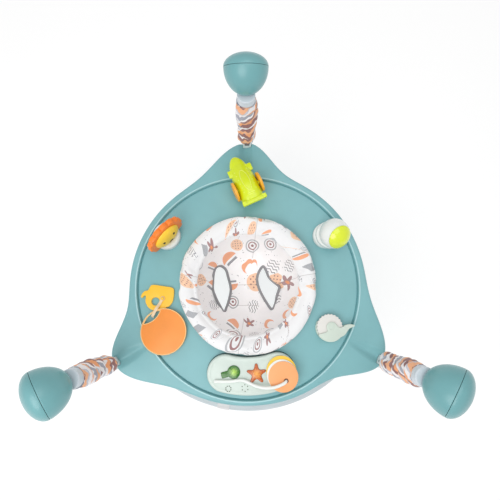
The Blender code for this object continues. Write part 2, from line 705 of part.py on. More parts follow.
def tray_edge(offset):
    """The tray's edge radius at an angle from the middle of a lobe."""
    swell = math.exp(-0.5 * (offset / TRAY_LOBE_SPREAD) ** 2)
    return TRAY_SIDE_RADIUS + (TRAY_TIP_RADIUS - TRAY_SIDE_RADIUS) * swell


def valley(radius, offset, edge):
    """How far the crease along a lobe lowers the surface."""
    across = abs(radius * math.sin(offset))
    along = (radius - TRAY_RIM_INNER) / (TRAY_TIP_RADIUS - TRAY_RIM_INNER)
    if edge < TRAY_SIDE_RADIUS + 0.02 or along <= 0:
        return 0.0
    return VALLEY_DEPTH * max(0.0, 1 - across / VALLEY_WIDTH) * min(1.0, 2.5 * along)


def tray_column(offset):
    """One section of the tray shell, as (radius, z), round its closed loop."""
    edge = tray_edge(offset)
    top, rim = TRAY_TOP_Z, TRAY_TOP_Z + TRAY_RIM_RISE
    groove = TRAY_RIM_INNER - TRAY_GROOVE_WIDTH
    shoulder = edge - TRAY_EDGE_ROUND
    inner_rim = TRAY_RIM_INNER + 0.003
    loop = [
        (TRAY_HOLE_RADIUS, top - TRAY_COLLAR_DEPTH), (TRAY_HOLE_RADIUS, top - 0.002),
        (TRAY_HOLE_RADIUS + 0.002, top), (groove - 0.002, top),
        (groove + TRAY_GROOVE_WIDTH / 2, top - TRAY_GROOVE_DEPTH), (TRAY_RIM_INNER, top + TRAY_RIM_RISE / 2),
        (inner_rim, rim),
    ]
    for share in (0.45, 1.0):
        radius = inner_rim + (shoulder - inner_rim) * share
        loop.append((radius, rim - valley(radius, offset, edge)))
    low = TRAY_TOP_Z - TRAY_DEPTH
    dip = valley(shoulder, offset, edge)
    loop += [
        (edge - 0.3 * TRAY_EDGE_ROUND, rim - 0.3 * TRAY_EDGE_ROUND - dip * 0.8),
        (edge, rim - TRAY_EDGE_ROUND - dip * 0.5), (edge, low), (edge - TRAY_WALL, low),
        (edge - TRAY_WALL, rim - TRAY_EDGE_ROUND - TRAY_WALL - dip * 0.5),
    ]
    for share in (1.0, 0.45):
        radius = inner_rim + (shoulder - TRAY_WALL - inner_rim) * share
        loop.append((radius, rim - TRAY_WALL - valley(radius, offset, edge)))
    loop += [
        (TRAY_RIM_INNER + 0.001, top - TRAY_GROOVE_DEPTH - TRAY_WALL),
        (groove - 0.002, top - TRAY_GROOVE_DEPTH - TRAY_WALL), (groove - 0.006, top - TRAY_WALL),
        (TRAY_HOLE_RADIUS + TRAY_WALL + 0.002, top - TRAY_WALL),
        (TRAY_HOLE_RADIUS + TRAY_WALL, top - TRAY_COLLAR_DEPTH),
    ]
    return loop


# Columns crowd together along the lobes, but stand evenly round the seat's hole
columns = []
for lobe in range(POST_COUNT):
    middle = FIRST_POST_ANGLE + 2 * math.pi * lobe / POST_COUNT
    for k in range(LOBE_COLUMNS):
        share = 2 * k / LOBE_COLUMNS - 1
        even = math.pi / POST_COUNT * share
        offset = math.pi / POST_COUNT * math.copysign(abs(share) ** 1.7, share)
        columns.append([
            polar(radius, middle + (even if radius < TRAY_HOLE_RADIUS + 0.01 else offset), z)
            for radius, z in tray_column(offset)
        ])
bm = bmesh.new()
skin(bm, columns, wrap=True)
tray = finish("tray", bm, TEAL, seat_axis)
for i, station in enumerate(stations):
    bm = bmesh.new()
    box(bm, (CLIP_THICKNESS + 2 * SLOT_GAP, CLIP_WIDTH + 2 * SLOT_GAP, 0.05), (HANGER_AT, 0, TRAY_TOP_Z))
    cut(tray, bm, f"tray_slot_{i + 1}", station)

# Seat: a ring that turns in the tray's hole, a padded roll on it and a fabric pouch with two leg holes
RING_LIP = 0.003
SEAT_SIDES = 32
flange_low = TRAY_TOP_Z + SEAT_GAP
flange_high = flange_low + SEAT_RING_FLANGE_THICKNESS
barrel = TRAY_HOLE_RADIUS - RUNNING_GAP
lip_top = TRAY_TOP_Z - TRAY_COLLAR_DEPTH - RUNNING_GAP
bm = bmesh.new()
turned(bm, [
    (SEAT_RING_INNER, flange_high), (SEAT_RING_INNER, lip_top - 0.005), (barrel, lip_top - 0.005),
    (barrel + RING_LIP, lip_top - 0.003), (barrel + RING_LIP, lip_top), (barrel, lip_top),
    (barrel, flange_low), (TRAY_HOLE_RADIUS + SEAT_RING_FLANGE, flange_low),
    (TRAY_HOLE_RADIUS + SEAT_RING_FLANGE, flange_high),
], SEAT_SIDES, closed=True)
finish("seat_ring", bm, WHITE, seat_axis)

pad_centre = SEAT_PAD_RADIUS - SEAT_PAD_WIDTH / 2
pad_middle_z = flange_high + SEAT_GAP + SEAT_PAD_THICKNESS / 2
bm = bmesh.new()
PAD_POINTS = 8
turned(bm, [
    (
        pad_centre + SEAT_PAD_WIDTH / 2 * math.copysign(abs(math.cos(a)) ** 0.8, math.cos(a)),
        pad_middle_z + SEAT_PAD_THICKNESS / 2 * math.copysign(abs(math.sin(a)) ** 0.8, math.sin(a)),
    )
    for a in (2 * math.pi * k / PAD_POINTS for k in range(PAD_POINTS))
], SEAT_SIDES, closed=True)
finish("seat_pad", bm, CREAM, seat_axis, sharp=80)

POUCH_TOP_Z = flange_high - 0.001
POUCH_ROWS = 7


def pouch_side(top_radius, floor_radius, floor_z):
    """The pouch's section from its upper edge to the middle of its floor: a side that rounds into the floor."""
    points = []
    for k in range(POUCH_ROWS + 1):
        share = k / POUCH_ROWS
        angle = math.pi / 2 * share
        radius = floor_radius * 0.55 + (top_radius - floor_radius * 0.55) * math.cos(angle) ** 0.55
        points.append((radius, floor_z + (POUCH_TOP_Z - floor_z) * (1 - math.sin(angle)) ** 0.9))
    return points + [(0, floor_z)]


bm = bmesh.new()
outside = pouch_side(SEAT_RING_INNER - SEAT_GAP, POUCH_FLOOR_RADIUS, POUCH_FLOOR_Z)
inside = pouch_side(
    SEAT_RING_INNER - SEAT_GAP - POUCH_WALL, POUCH_FLOOR_RADIUS - POUCH_WALL, POUCH_FLOOR_Z + POUCH_WALL
)
turned(bm, outside[::-1] + inside, SEAT_SIDES)
pouch = finish("seat_pouch", bm, CREAM, seat_axis, sharp=80)
for side in (-1, 1):
    bm = bmesh.new()
    outline = rounded_rectangle(LEG_HOLE_WIDTH, LEG_HOLE_LENGTH, LEG_HOLE_WIDTH / 2 - 0.001, 4)
    prism(bm, outline, POUCH_FLOOR_Z - 0.03, POUCH_FLOOR_Z + 0.09)
    cut(pouch, bm, f"leg_hole_{side}", seat_axis, (side * LEG_HOLE_SPACING / 2, 0, 0))


def toy_stand(name, radius, angle, heading):
    """The place of one toy on the tray, its +X turned to a heading."""
    return empty(name, polar(radius, angle, TRAY_TOP_Z), (0, 0, heading), seat_axis)


# Racer: a low car on a rocking pivot, its hull lofted from rounded sections
racer = toy_stand("racer_place", RACER_AT, RACER_ANGLE, RACER_HEADING)
pivot_height = RACER_PIVOT_Z - TRAY_TOP_Z
bm = bmesh.new()
disc(bm, RACER_BASE_RADIUS, SEAT_GAP, pivot_height + 0.0045, 0.002, 20)
racer_base = finish("racer_base", bm, WHITE, racer)
bm = bmesh.new()
box(bm, (3 * RACER_BASE_RADIUS, 0.0136, pivot_height), (0, 0, pivot_height / 2 + 0.008))
cut(racer_base, bm, "racer_base_fork", racer)
bm = bmesh.new()
disc(bm, RACER_PIN_RADIUS, -RACER_BASE_RADIUS + 0.004, RACER_BASE_RADIUS - 0.004, segments=10)
fuse(racer_base, bm, "racer_pin", racer, (0, 0, pivot_height), (math.pi / 2, 0, 0))


def hull_section(share, points=11):
    """One section across the hull; share runs from the tail, 0, to the nose, 1."""
    x = RACER_LENGTH * (share - 0.45)
    taper = math.sqrt(max(0.0, 1 - max(0.0, (share - 0.35) / 0.65) ** 2.2))
    half = RACER_WIDTH / 2 * max(0.12, taper)
    high = RACER_HEIGHT * (0.55 + 0.45 * math.sin(math.pi * min(1.0, 0.2 + share))) * max(0.2, taper)
    ring = []
    for k in range(points):
        angle = math.pi * k / (points - 1)
        ring.append(Vector((
            x, half * math.copysign(abs(math.cos(angle)) ** 0.75, math.cos(angle)),
            RACER_LIFT + high * math.sin(angle) ** 0.9,
        )))
    return ring


bm = bmesh.new()
skin(bm, [hull_section(share) for share in (0, 0.12, 0.26, 0.42, 0.58, 0.72, 0.84, 0.93, 0.98, 1.0)])
racer_body = finish("racer_body", bm, LIME, racer)
bm = bmesh.new()
box(bm, (TAIL_BAR_LENGTH, TAIL_BAR_WIDTH, 0.012), (-0.45 * RACER_LENGTH, 0, RACER_LIFT + 0.024))
fuse(racer_body, bm, "racer_tail_bar", racer)
bm = bmesh.new()
box(bm, (TAB_LENGTH, RACER_WIDTH + 0.006, 0.007), (TAB_AT, 0, RACER_LIFT + 0.012))
fuse(racer_body, bm, "racer_tabs", racer)
bm = bmesh.new()
box(bm, (0.020, 0.0124, RACER_LIFT - pivot_height + 0.008), (0, 0, (RACER_LIFT + pivot_height) / 2))
fuse(racer_body, bm, "racer_lug", racer)
bm = bmesh.new()
disc(bm, RACER_PIN_RADIUS + SEAT_GAP, -0.03, 0.03, segments=10)
cut(racer_body, bm, "racer_lug_bore", racer, (0, 0, pivot_height), (math.pi / 2, 0, 0))
bm = bmesh.new()
disc(bm, 0.006, -RACER_WIDTH / 2 - 0.001, RACER_WIDTH / 2 + 0.001, segments=12)
fuse(racer_body, bm, "racer_axle", racer, (WHEEL_AT, 0, RACER_LIFT + 0.010), (math.pi / 2, 0, 0))
for side, word in ((-1, "right"), (1, "left")):
    bm = bmesh.new()
    start = RACER_WIDTH / 2 + 0.001 + SEAT_GAP
    disc(bm, WHEEL_RADIUS, start, start + WHEEL_THICKNESS, 0.0015, 14)
    finish(
        f"racer_wheel_{word}", bm, YELLOW, racer, (WHEEL_AT, 0, RACER_LIFT + 0.010),
        (-side * math.pi / 2, 0, 0),
    )

# Lion: a thick scalloped mane with a domed face, upright on a round base, facing the seat
lion = toy_stand("lion_place", LION_AT, LION_ANGLE, LION_HEADING)
bm = bmesh.new()
disc(bm, LION_BASE_RADIUS, SEAT_GAP, LION_BASE_HEIGHT, 0.006, 18)
finish("lion_base", bm, WHITE, lion)
head = empty(
    "lion_head", (LION_FACE_OUT, 0, LION_BASE_HEIGHT + SEAT_GAP), (0, math.pi / 2 - LION_LEAN, 0), lion
)


def mane_outline():
    """A round outline with scallops."""
    points = []
    steps = LION_SCALLOPS * 4
    for k in range(steps):
        angle = 2 * math.pi * k / steps
        lift = LION_MANE_SCALLOP * (abs(math.sin(LION_SCALLOPS * angle / 2)) - 0.5)
        points.append((
            (LION_MANE_RADIUS + lift) * math.cos(angle) - LION_MANE_RISE,
            (LION_MANE_RADIUS + lift) * math.sin(angle),
        ))
    return points


bm = bmesh.new()
prism(bm, mane_outline(), -LION_MANE_THICKNESS - SEAT_GAP, -SEAT_GAP, 0.002)
mane = finish("lion_mane", bm, ORANGE, head)
bm = bmesh.new()
turned(bm, [
    (LION_FACE_RADIUS * radius, LION_FACE_DEPTH * depth)
    for radius, depth in ((0, 0), (1, 0), (1, 0.15), (0.95, 0.43), (0.8, 0.74), (0.48, 0.94), (0, 1))
], 20, centre=(-LION_FACE_RISE, 0))
face = finish("lion_face", bm, YELLOW, head)
# Both end flat on the base
for target, word in ((mane, "mane"), (face, "face")):
    bm = bmesh.new()
    foot_block = (4 * LION_MANE_RADIUS, 4 * LION_MANE_RADIUS, LION_MANE_RADIUS)
    box(bm, foot_block, (0, 0, LION_BASE_HEIGHT + SEAT_GAP - LION_MANE_RADIUS / 2))
    cut(target, bm, f"lion_{word}_foot", lion)

# Dome: a round head with a collar that turns on its base, set to one side, with a visor let into it
dome = toy_stand("dome_place", DOME_AT, DOME_ANGLE, DOME_HEADING)
bm = bmesh.new()
disc(bm, DOME_BASE_RADIUS, SEAT_GAP, DOME_BASE_HEIGHT, 0.006, 18)
finish("dome_base", bm, WHITE, dome)
DOME_CENTRE_Z = DOME_BASE_HEIGHT + SEAT_GAP + 0.034


def ball(bm, radius, rows, segments, lowest):
    """A ball cut flat below, standing at lowest under its centre."""
    profile = [(0, lowest)]
    start = math.asin(lowest / radius)
    for k in range(rows + 1):
        angle = start + (math.pi / 2 - start) * k / rows
        profile.append((radius * math.cos(angle), radius * math.sin(angle)))
    turned(bm, profile, segments)


bm = bmesh.new()
ball(bm, DOME_RADIUS, 7, 18, -0.034)
DOME_CENTRE = (*DOME_OFFSET, DOME_CENTRE_Z)
shell = finish("dome_head", bm, WHITE, dome, DOME_CENTRE)
bm = bmesh.new()
disc(bm, DOME_COLLAR_RADIUS, 0, DOME_COLLAR_HEIGHT, 0.004, 18)
collar_at = (DOME_OFFSET[0] / 2, DOME_OFFSET[1] / 2, DOME_BASE_HEIGHT + SEAT_GAP)
fuse(shell, bm, "dome_collar", dome, collar_at)
VISOR_TILT = Euler((0, VISOR_LEAN, 0))
bm = bmesh.new()
ring_inner = DOME_RADIUS - VISOR_WALL
lens = [(0, ring_inner)]
for k in range(1, VISOR_ROWS + 1):
    angle = VISOR_HALF_ANGLE * k / VISOR_ROWS
    lens.append((ring_inner * math.sin(angle), ring_inner * math.cos(angle)))
for k in range(VISOR_ROWS, -1, -1):
    angle = VISOR_HALF_ANGLE * k / VISOR_ROWS
    lens.append(((ring_inner + 0.0032) * math.sin(angle), (ring_inner + 0.0032) * math.cos(angle)))
turned(bm, lens, 16)
finish("dome_visor", bm, LIME, dome, DOME_CENTRE, VISOR_TILT)
bm = bmesh.new()
pocket_half_angle = VISOR_HALF_ANGLE + math.radians(0.5)
pocket = [(0, ring_inner - SEAT_GAP)]
for k in range(1, VISOR_ROWS + 1):
    angle = pocket_half_angle * k / VISOR_ROWS
    pocket.append(((ring_inner - SEAT_GAP) * math.sin(angle), (ring_inner - SEAT_GAP) * math.cos(angle)))
pocket += [(0.06 * math.sin(pocket_half_angle), 0.06 * math.cos(pocket_half_angle)), (0, 0.07)]
turned(bm, pocket, 16)
cut(shell, bm, "visor_pocket", dome, DOME_CENTRE, VISOR_TILT)

# Snail: a flat body lying on the tray, with a shell that turns on its hub below a cover
snail = toy_stand("snail_place", SNAIL_AT, SNAIL_ANGLE, 0)


def snail_points(shares):
    """Points given in shares of the shell's radius."""
    return [(SNAIL_SHELL_RADIUS * x, SNAIL_SHELL_RADIUS * y) for x, y in shares]


def snail_outline():
    """The body's outline: a round belly under the shell that runs out into the neck and head."""
    points = []
    for k in range(9):
        angle = math.radians(150 + 170 * k / 8)
        points.append((1.04 * math.cos(angle), 1.04 * math.sin(angle) - 0.07))
    points += [(1.17, -0.52), (1.40, -0.17), (1.88, 0.06), (1.86, 0.15), (1.63, 0.21), (1.17, 0.14)]
    points += [(0.95, 0.12), (0.28, 0.39), (-0.33, 0.39)]
    return snail_points(points)


shell_low = SNAIL_BODY_THICKNESS + RUNNING_GAP
shell_high = shell_low + SNAIL_SHELL_THICKNESS
cover_top = shell_high + RUNNING_GAP + SNAIL_COVER_THICKNESS
bm = bmesh.new()
prism(bm, snail_outline(), SEAT_GAP, cover_top, 0.0015)
snail_body = finish("snail_body", bm, MINT, snail)
bm = bmesh.new()
disc(bm, SNAIL_SHELL_RADIUS + RUNNING_GAP, SNAIL_BODY_THICKNESS, shell_high + RUNNING_GAP)
cut(snail_body, bm, "snail_pocket", snail)
# The cover leaves the shell's upper half free, but runs round its middle
open_side = [(-2, -0.62), (-0.72, -0.49), (-0.23, -0.37), (-0.28, -0.08), (-0.20, 0.22), (0.08, 0.39)]
open_side += [(0.38, 0.32), (0.54, 0.16), (0.60, 0.02), (0.96, 0.0), (1.02, 0.19), (1.02, 2), (-2, 2)]
bm = bmesh.new()
prism(bm, snail_points(open_side), SNAIL_BODY_THICKNESS + RUNNING_GAP / 2, cover_top + 0.01)
cut(snail_body, bm, "snail_window", snail)
# The head reaches over the tray's rim, so it stands clear of it
bm = bmesh.new()
box(bm, (0.05, 0.05, 2 * SNAIL_HEAD_LIFT), (SNAIL_HEAD_FROM + 0.025, 0, 0))
cut(snail_body, bm, "snail_head_relief", snail)
bm = bmesh.new()
disc(bm, SNAIL_HUB_RADIUS, 0.004, cover_top - 0.001, segments=16)
fuse(snail_body, bm, "snail_hub", snail)
bm = bmesh.new()
turned(bm, [
    (SNAIL_HUB_RADIUS + SEAT_GAP, shell_low), (SNAIL_SHELL_RADIUS - 0.002, shell_low),
    (SNAIL_SHELL_RADIUS, shell_low + 0.003), (SNAIL_SHELL_RADIUS, shell_high - 0.003),
    (SNAIL_SHELL_RADIUS - 0.003, shell_high), (SNAIL_HUB_RADIUS + SEAT_GAP, shell_high),
], 20, closed=True)
finish("snail_shell", bm, WHITE, snail)

# Elephant: a thick flat plate on the tray with a ring hole, which a strap loops through
elephant = toy_stand("elephant_place", ELEPHANT_AT, ELEPHANT_ANGLE, math.radians(-6.0))


def elephant_outline():
    """Back, head with the trunk curling out at the left, round belly and a notched rump."""
    points = [(0.038, 0.030), (-0.018, 0.034), (-0.026, 0.030), (-0.031, 0.018), (-0.040, 0.014)]
    points += [(-0.047, 0.006), (-0.049, -0.004), (-0.044, -0.005), (-0.038, 0.002), (-0.035, -0.003)]
    for k in range(6):
        angle = math.radians(195 + 85 * k / 5)
        points.append((-0.004 + 0.032 * math.cos(angle), -0.004 + 0.034 * math.sin(angle)))
    points += [(0.020, -0.036), (0.026, -0.026), (0.034, -0.022), (0.042, -0.008), (0.043, 0.012)]
    return points


bm = bmesh.new()
prism(bm, elephant_outline(), SEAT_GAP, ELEPHANT_THICKNESS, 0.0012)
plate = finish("elephant", bm, YELLOW, elephant)
ELEPHANT_HOLE_AT = (-0.006, -0.012)
bm = bmesh.new()
disc(bm, ELEPHANT_HOLE_RADIUS, -0.01, 0.03, segments=18)
cut(plate, bm, "elephant_hole", elephant, (*ELEPHANT_HOLE_AT, 0))
# A bridge post beside the hole carries the strap
STRAP_POST_AT = (0.013, -0.002)
bm = bmesh.new()
disc(bm, 0.004, ELEPHANT_THICKNESS - 0.002, ELEPHANT_THICKNESS + 0.0050, segments=12)
fuse(plate, bm, "elephant_post", elephant, (*STRAP_POST_AT, 0))

# Teether: a disc with a rim, a lens slot near its edge and a strap to the elephant
teether_centre = polar(TEETHER_AT, TEETHER_ANGLE)
strap_start = elephant.matrix_basis @ Vector((*STRAP_POST_AT, 0))
slot_way = Vector((-math.sin(math.radians(40)), math.cos(math.radians(40)), 0))
slot_middle = teether_centre + slot_way * (TEETHER_RADIUS - TEETHER_SLOT_INSET - TEETHER_SLOT_WIDTH / 2)
TEETHER_LOW = max(TRAY_RIM_RISE, ELEPHANT_THICKNESS) + 0.0008
teether = empty("teether_place", (teether_centre.x, teether_centre.y, TRAY_TOP_Z), (0, 0, 0), seat_axis)
bm = bmesh.new()
low, high = TEETHER_LOW, TEETHER_LOW + TEETHER_THICKNESS
turned(bm, [
    (0, low), (TEETHER_RADIUS - 0.002, low), (TEETHER_RADIUS, low + 0.002), (TEETHER_RADIUS, high),
    (TEETHER_RADIUS - 0.0025, high + 0.001), (TEETHER_RADIUS - 0.0045, high - 0.001), (0, high - 0.0015),
], 28)
teether_disc = finish("teether", bm, ORANGE, teether)


def lens_outline(width, chord):
    """Two arcs that meet in points: a lens."""
    radius = (chord ** 2 / 4 + width ** 2 / 4) / width
    half = math.asin(chord / 2 / radius)
    points = []
    for sign in (1, -1):
        for k in range(8):
            angle = half * (1 - 2 * k / 8)
            points.append((
                sign * radius * math.sin(angle), sign * (radius * math.cos(angle) - radius + width / 2),
            ))
    return points


bm = bmesh.new()
prism(bm, lens_outline(TEETHER_SLOT_WIDTH, TEETHER_SLOT_CHORD), -0.02, 0.04)
slot_place = slot_middle - teether_centre
cut(teether_disc, bm, "teether_slot", teether, (slot_place.x, slot_place.y, 0), (0, 0, math.radians(40)))

# The strap runs flat over the plate and down through the slot to a knot under the teether
strap_end = Vector((slot_middle.x, slot_middle.y, 0))
run = strap_end - Vector((strap_start.x, strap_start.y, 0))
strap_place = empty(
    "link_strap_place", (strap_start.x, strap_start.y, TRAY_TOP_Z), (0, 0, math.atan2(run.y, run.x)), seat_axis
)
strap_low = ELEPHANT_THICKNESS + SEAT_GAP + 0.0004
bm = bmesh.new()
reach = run.length
over_rim = high + 0.001 + SEAT_GAP + 0.0003
path = [
    (-0.006, strap_low), (reach * 0.3, strap_low + 0.0003), (reach - STRAP_RISE, over_rim + 0.0006),
    (reach - STRAP_DROP, over_rim + 0.0006), (reach - 0.003, high - 0.001), (reach - 0.001, TEETHER_LOW + 0.001),
]
lower = [Vector((x, 0, z)) for x, z in path]
rings = []
for k, point in enumerate(lower):
    ahead = lower[min(k + 1, len(lower) - 1)] - lower[max(k - 1, 0)]
    up = Vector((-ahead.z, 0, ahead.x)).normalized() * LINK_STRAP_THICKNESS
    side = Vector((0, LINK_STRAP_WIDTH / 2, 0))
    rings.append([point - side, point + side, point + side + up, point - side + up])
skin(bm, rings)
strap = finish("link_strap", bm, PEACH, strap_place)
bm = bmesh.new()
disc(bm, 0.0085, strap_low, strap_low + LINK_STRAP_THICKNESS + 0.0002, segments=16)
fuse(strap, bm, "link_strap_end", strap_place)
bm = bmesh.new()
disc(bm, 0.0046, -0.01, 0.04, segments=12)
cut(strap, bm, "link_strap_eye", strap_place)

# Light panel
panel = empty("panel_place", (0, 0, TRAY_TOP_Z), (0, 0, PANEL_ANGLE + math.pi / 2), seat_axis)


def panel_outline(width):
    """A band bent round the seat's axis with round ends, in the panel's frame, where -Y is outward."""
    points = []
    for k in range(13):
        angle = PANEL_HALF_ANGLE * (2 * k / 12 - 1)
        points.append(((PANEL_AT + width / 2) * math.sin(angle), -(PANEL_AT + width / 2) * math.cos(angle)))
    points += end_arc(1, width, 8)
    for k in range(13):
        angle = PANEL_HALF_ANGLE * (1 - 2 * k / 12)
        points.append(((PANEL_AT - width / 2) * math.sin(angle), -(PANEL_AT - width / 2) * math.cos(angle)))
    return points + end_arc(-1, width, 8)


def end_arc(end, width, steps):
    """The round end of the band, without its first and last points; end is 1 at the right."""
    middle = Vector((PANEL_AT * math.sin(PANEL_HALF_ANGLE) * end, -PANEL_AT * math.cos(PANEL_HALF_ANGLE)))
    points = []
    for k in range(1, steps):
        turn = math.pi * k / steps
        start = -math.pi / 2 + PANEL_HALF_ANGLE if end > 0 else math.pi / 2 - PANEL_HALF_ANGLE
        points.append((
            middle.x + width / 2 * math.cos(start + turn), middle.y + width / 2 * math.sin(start + turn),
        ))
    return points


bm = bmesh.new()
rings = []
for width, z in (
    (PANEL_WIDTH, SEAT_GAP), (PANEL_WIDTH, PANEL_HEIGHT - PANEL_EDGE_ROUND),
    (PANEL_WIDTH - 0.6 * PANEL_EDGE_ROUND, PANEL_HEIGHT - 0.3 * PANEL_EDGE_ROUND),
    (PANEL_WIDTH - 2 * PANEL_EDGE_ROUND, PANEL_HEIGHT),
):
    rings.append([Vector((x, y, z)) for x, y in panel_outline(width)])
skin(bm, rings)
housing = finish("panel_housing", bm, MINT, panel)


def on_panel(spot, z=0.0):
    """A point on the panel, measured from the middle of its band."""
    return Vector((spot[0], spot[1] - PANEL_AT, z))


def bulb_outline(grow=0.0):
    """A light bulb lying on its side: a round glass and a stem that points left and a little outward."""
    radius, half = BULB_RADIUS + grow, BULB_STEM_WIDTH / 2 + grow
    start = math.pi - math.asin(half / radius)
    points = [(radius * math.cos(-start + 2 * start * k / 14), radius * math.sin(-start + 2 * start * k / 14))
              for k in range(15)]
    end = -radius - BULB_STEM_LENGTH + 0.004
    points += [(end, half), (end, -half)]
    turn = Euler((0, 0, BULB_TURN)).to_matrix()
    return [tuple(turn @ Vector((x, y, 0)))[:2] for x, y in points]


def star_outline(grow=0.0):
    """A five-pointed star with blunted tips."""
    points = []
    for k in range(10):
        angle = math.pi / 2 + math.pi * k / 5
        if k % 2:
            points.append(((STAR_INNER_RADIUS + grow) * math.cos(angle), (STAR_INNER_RADIUS + grow) * math.sin(angle)))
        else:
            for nudge in (-0.13, 0.13):
                size = STAR_RADIUS + grow
                points.append((size * math.cos(angle + nudge), size * math.sin(angle + nudge)))
    return points


BUTTON_LOW = PANEL_HEIGHT + BUTTON_RISE - BUTTON_DEPTH
for name, spot, outline, finish_material in (
    ("bulb_button", BULB_AT, bulb_outline, GREEN), ("star_button", STAR_AT, star_outline, ORANGE),
):
    bm = bmesh.new()
    prism(bm, outline(), BUTTON_LOW, PANEL_HEIGHT + BUTTON_RISE, 0.001)
    finish(name, bm, finish_material, panel, on_panel(spot))
    bm = bmesh.new()
    prism(bm, outline(BUTTON_GAP), BUTTON_LOW - BUTTON_TRAVEL - 0.0005, PANEL_HEIGHT + 0.01)
    cut(housing, bm, f"{name}_pocket", panel, on_panel(spot))

page_low = PANEL_HEIGHT + BUTTON_RISE + 0.0008
for number, (radius, offset) in enumerate(zip(PAGE_RADII, PAGE_OFFSETS)):
    low = page_low + PAGE_SPACING * number
    page_material = (YELLOW, WHITE, PEACH)[number]
    bm = bmesh.new()
    disc(bm, radius, low, low + PAGE_THICKNESS, segments=28, centre=offset)
    page = finish(f"page_{('yellow', 'white', 'peach')[number]}", bm, page_material, panel, on_panel(PAGE_PIN_AT))
    bm = bmesh.new()
    disc(bm, PAGE_HOLE_RADIUS, low - 0.01, low + 0.01, segments=14)
    cut(page, bm, f"page_hole_{number + 1}", panel, on_panel(PAGE_PIN_AT))

# The rod lies along the panel, rises over the pages and hooks down through their holes
page_top = page_low + PAGE_SPACING * 2 + PAGE_THICKNESS
rod_over = page_top + ROD_RADIUS + 0.0012
on_top = PANEL_HEIGHT + ROD_RADIUS
route = [
    (-0.101, -0.0075, on_top + SEAT_GAP), (-0.061, -0.0092, on_top + 0.001),
    (-0.024, -0.0080, on_top + 0.0015), (0.001, -0.0190, on_top + 0.003),
    (0.019, -0.0250, on_top + 0.008), (0.040, -0.0275, rod_over + 0.001),
    (0.062, -0.0262, rod_over + 0.001), (0.080, -0.0205, rod_over + 0.001), (0.0890, -0.0160, rod_over - 0.001),
    (*PAGE_PIN_AT, rod_over - 0.0045), (*PAGE_PIN_AT, PANEL_HEIGHT + SEAT_GAP),
]
radii = [ROD_RADIUS] * 9 + [PAGE_PIN_RADIUS] * 2
bm = bmesh.new()
tube(bm, [on_panel((x, y), z) for x, y, z in route], radii, 8)
finish("page_rod", bm, WHITE, panel)
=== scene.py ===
import math

import bmesh
import bpy
import numpy as np
from mathutils import Euler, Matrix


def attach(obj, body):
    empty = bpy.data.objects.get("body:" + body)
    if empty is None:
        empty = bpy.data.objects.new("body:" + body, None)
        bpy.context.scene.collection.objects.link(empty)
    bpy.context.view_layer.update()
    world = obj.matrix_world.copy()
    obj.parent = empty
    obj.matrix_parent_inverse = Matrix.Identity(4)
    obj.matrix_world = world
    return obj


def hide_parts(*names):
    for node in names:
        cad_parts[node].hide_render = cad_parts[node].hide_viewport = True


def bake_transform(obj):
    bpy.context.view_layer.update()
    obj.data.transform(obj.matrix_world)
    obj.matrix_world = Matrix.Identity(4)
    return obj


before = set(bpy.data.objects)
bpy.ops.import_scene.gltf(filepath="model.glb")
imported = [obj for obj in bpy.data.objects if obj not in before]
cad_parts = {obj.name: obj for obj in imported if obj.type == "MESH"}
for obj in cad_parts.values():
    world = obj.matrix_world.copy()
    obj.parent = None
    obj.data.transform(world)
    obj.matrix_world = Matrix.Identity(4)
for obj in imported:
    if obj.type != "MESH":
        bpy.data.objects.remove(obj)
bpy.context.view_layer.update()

# Room: a pale floor under soft studio light. The camera hangs over the seat and leans a little
# towards the back post, as the photograph was taken.


def tint(red, green, blue):
    """A colour given as it shows on a screen, 0 to 255, turned into the linear one that shaders take."""
    share = np.array((red, green, blue)) / 255.0
    linear = np.where(share <= 0.04045, share / 12.92, ((share + 0.055) / 1.055) ** 2.4)
    return (*linear.tolist(), 1.0)


camera_data = bpy.data.cameras.new("overhead_camera")
camera_data.sensor_width = 36.0
camera_data.lens = 26.35
camera_data.clip_start = 0.05
camera = bpy.data.objects.new("overhead_camera", camera_data)
camera.location = (0.006, -0.095, 1.50)
camera.rotation_euler = (math.radians(9.18), 0.0, math.radians(-0.34))
bpy.context.scene.collection.objects.link(camera)
bpy.context.scene.camera = camera

for name, place, turn, size, watts in (
    ("soft_key", (-0.7, -1.0, 2.1), (0.47, -0.30, 0.0), 1.6, 18.0),
    ("soft_fill", (0.25, 0.3, 2.6), (-0.12, 0.10, 0.0), 1.6, 8.5),
):
    lamp = bpy.data.lights.new(name, "AREA")
    lamp.shape, lamp.size, lamp.energy = "DISK", size, watts
    lamp_object = bpy.data.objects.new(name, lamp)
    lamp_object.location, lamp_object.rotation_euler = place, turn
    bpy.context.scene.collection.objects.link(lamp_object)
sky = bpy.data.worlds.new("studio_sky")
sky.use_nodes = True
sky.node_tree.nodes["Background"].inputs["Color"].default_value = (1.0, 1.0, 1.0, 1.0)
sky.node_tree.nodes["Background"].inputs["Strength"].default_value = 0.66
bpy.context.scene.world = sky
bpy.context.scene.view_settings.view_transform = "Standard"

floor_mesh = bpy.data.meshes.new("floor")
floor_mesh.from_pydata([(-6, -6, 0), (6, -6, 0), (6, 6, 0), (-6, 6, 0)], [], [(0, 1, 2, 3)])
floor = bpy.data.objects.new("floor", floor_mesh)
bpy.context.scene.collection.objects.link(floor)
floor_paint = bpy.data.materials.new("pale_floor")
floor_paint.use_nodes = True
floor_shader = floor_paint.node_tree.nodes["Principled BSDF"]
floor_shader.inputs["Base Color"].default_value = tint(180, 180, 180)
floor_shader.inputs["Roughness"].default_value = 0.9
floor_shader.inputs["Emission Color"].default_value = tint(255, 255, 255)
floor_shader.inputs["Emission Strength"].default_value = 0.60
floor_mesh.materials.append(floor_paint)

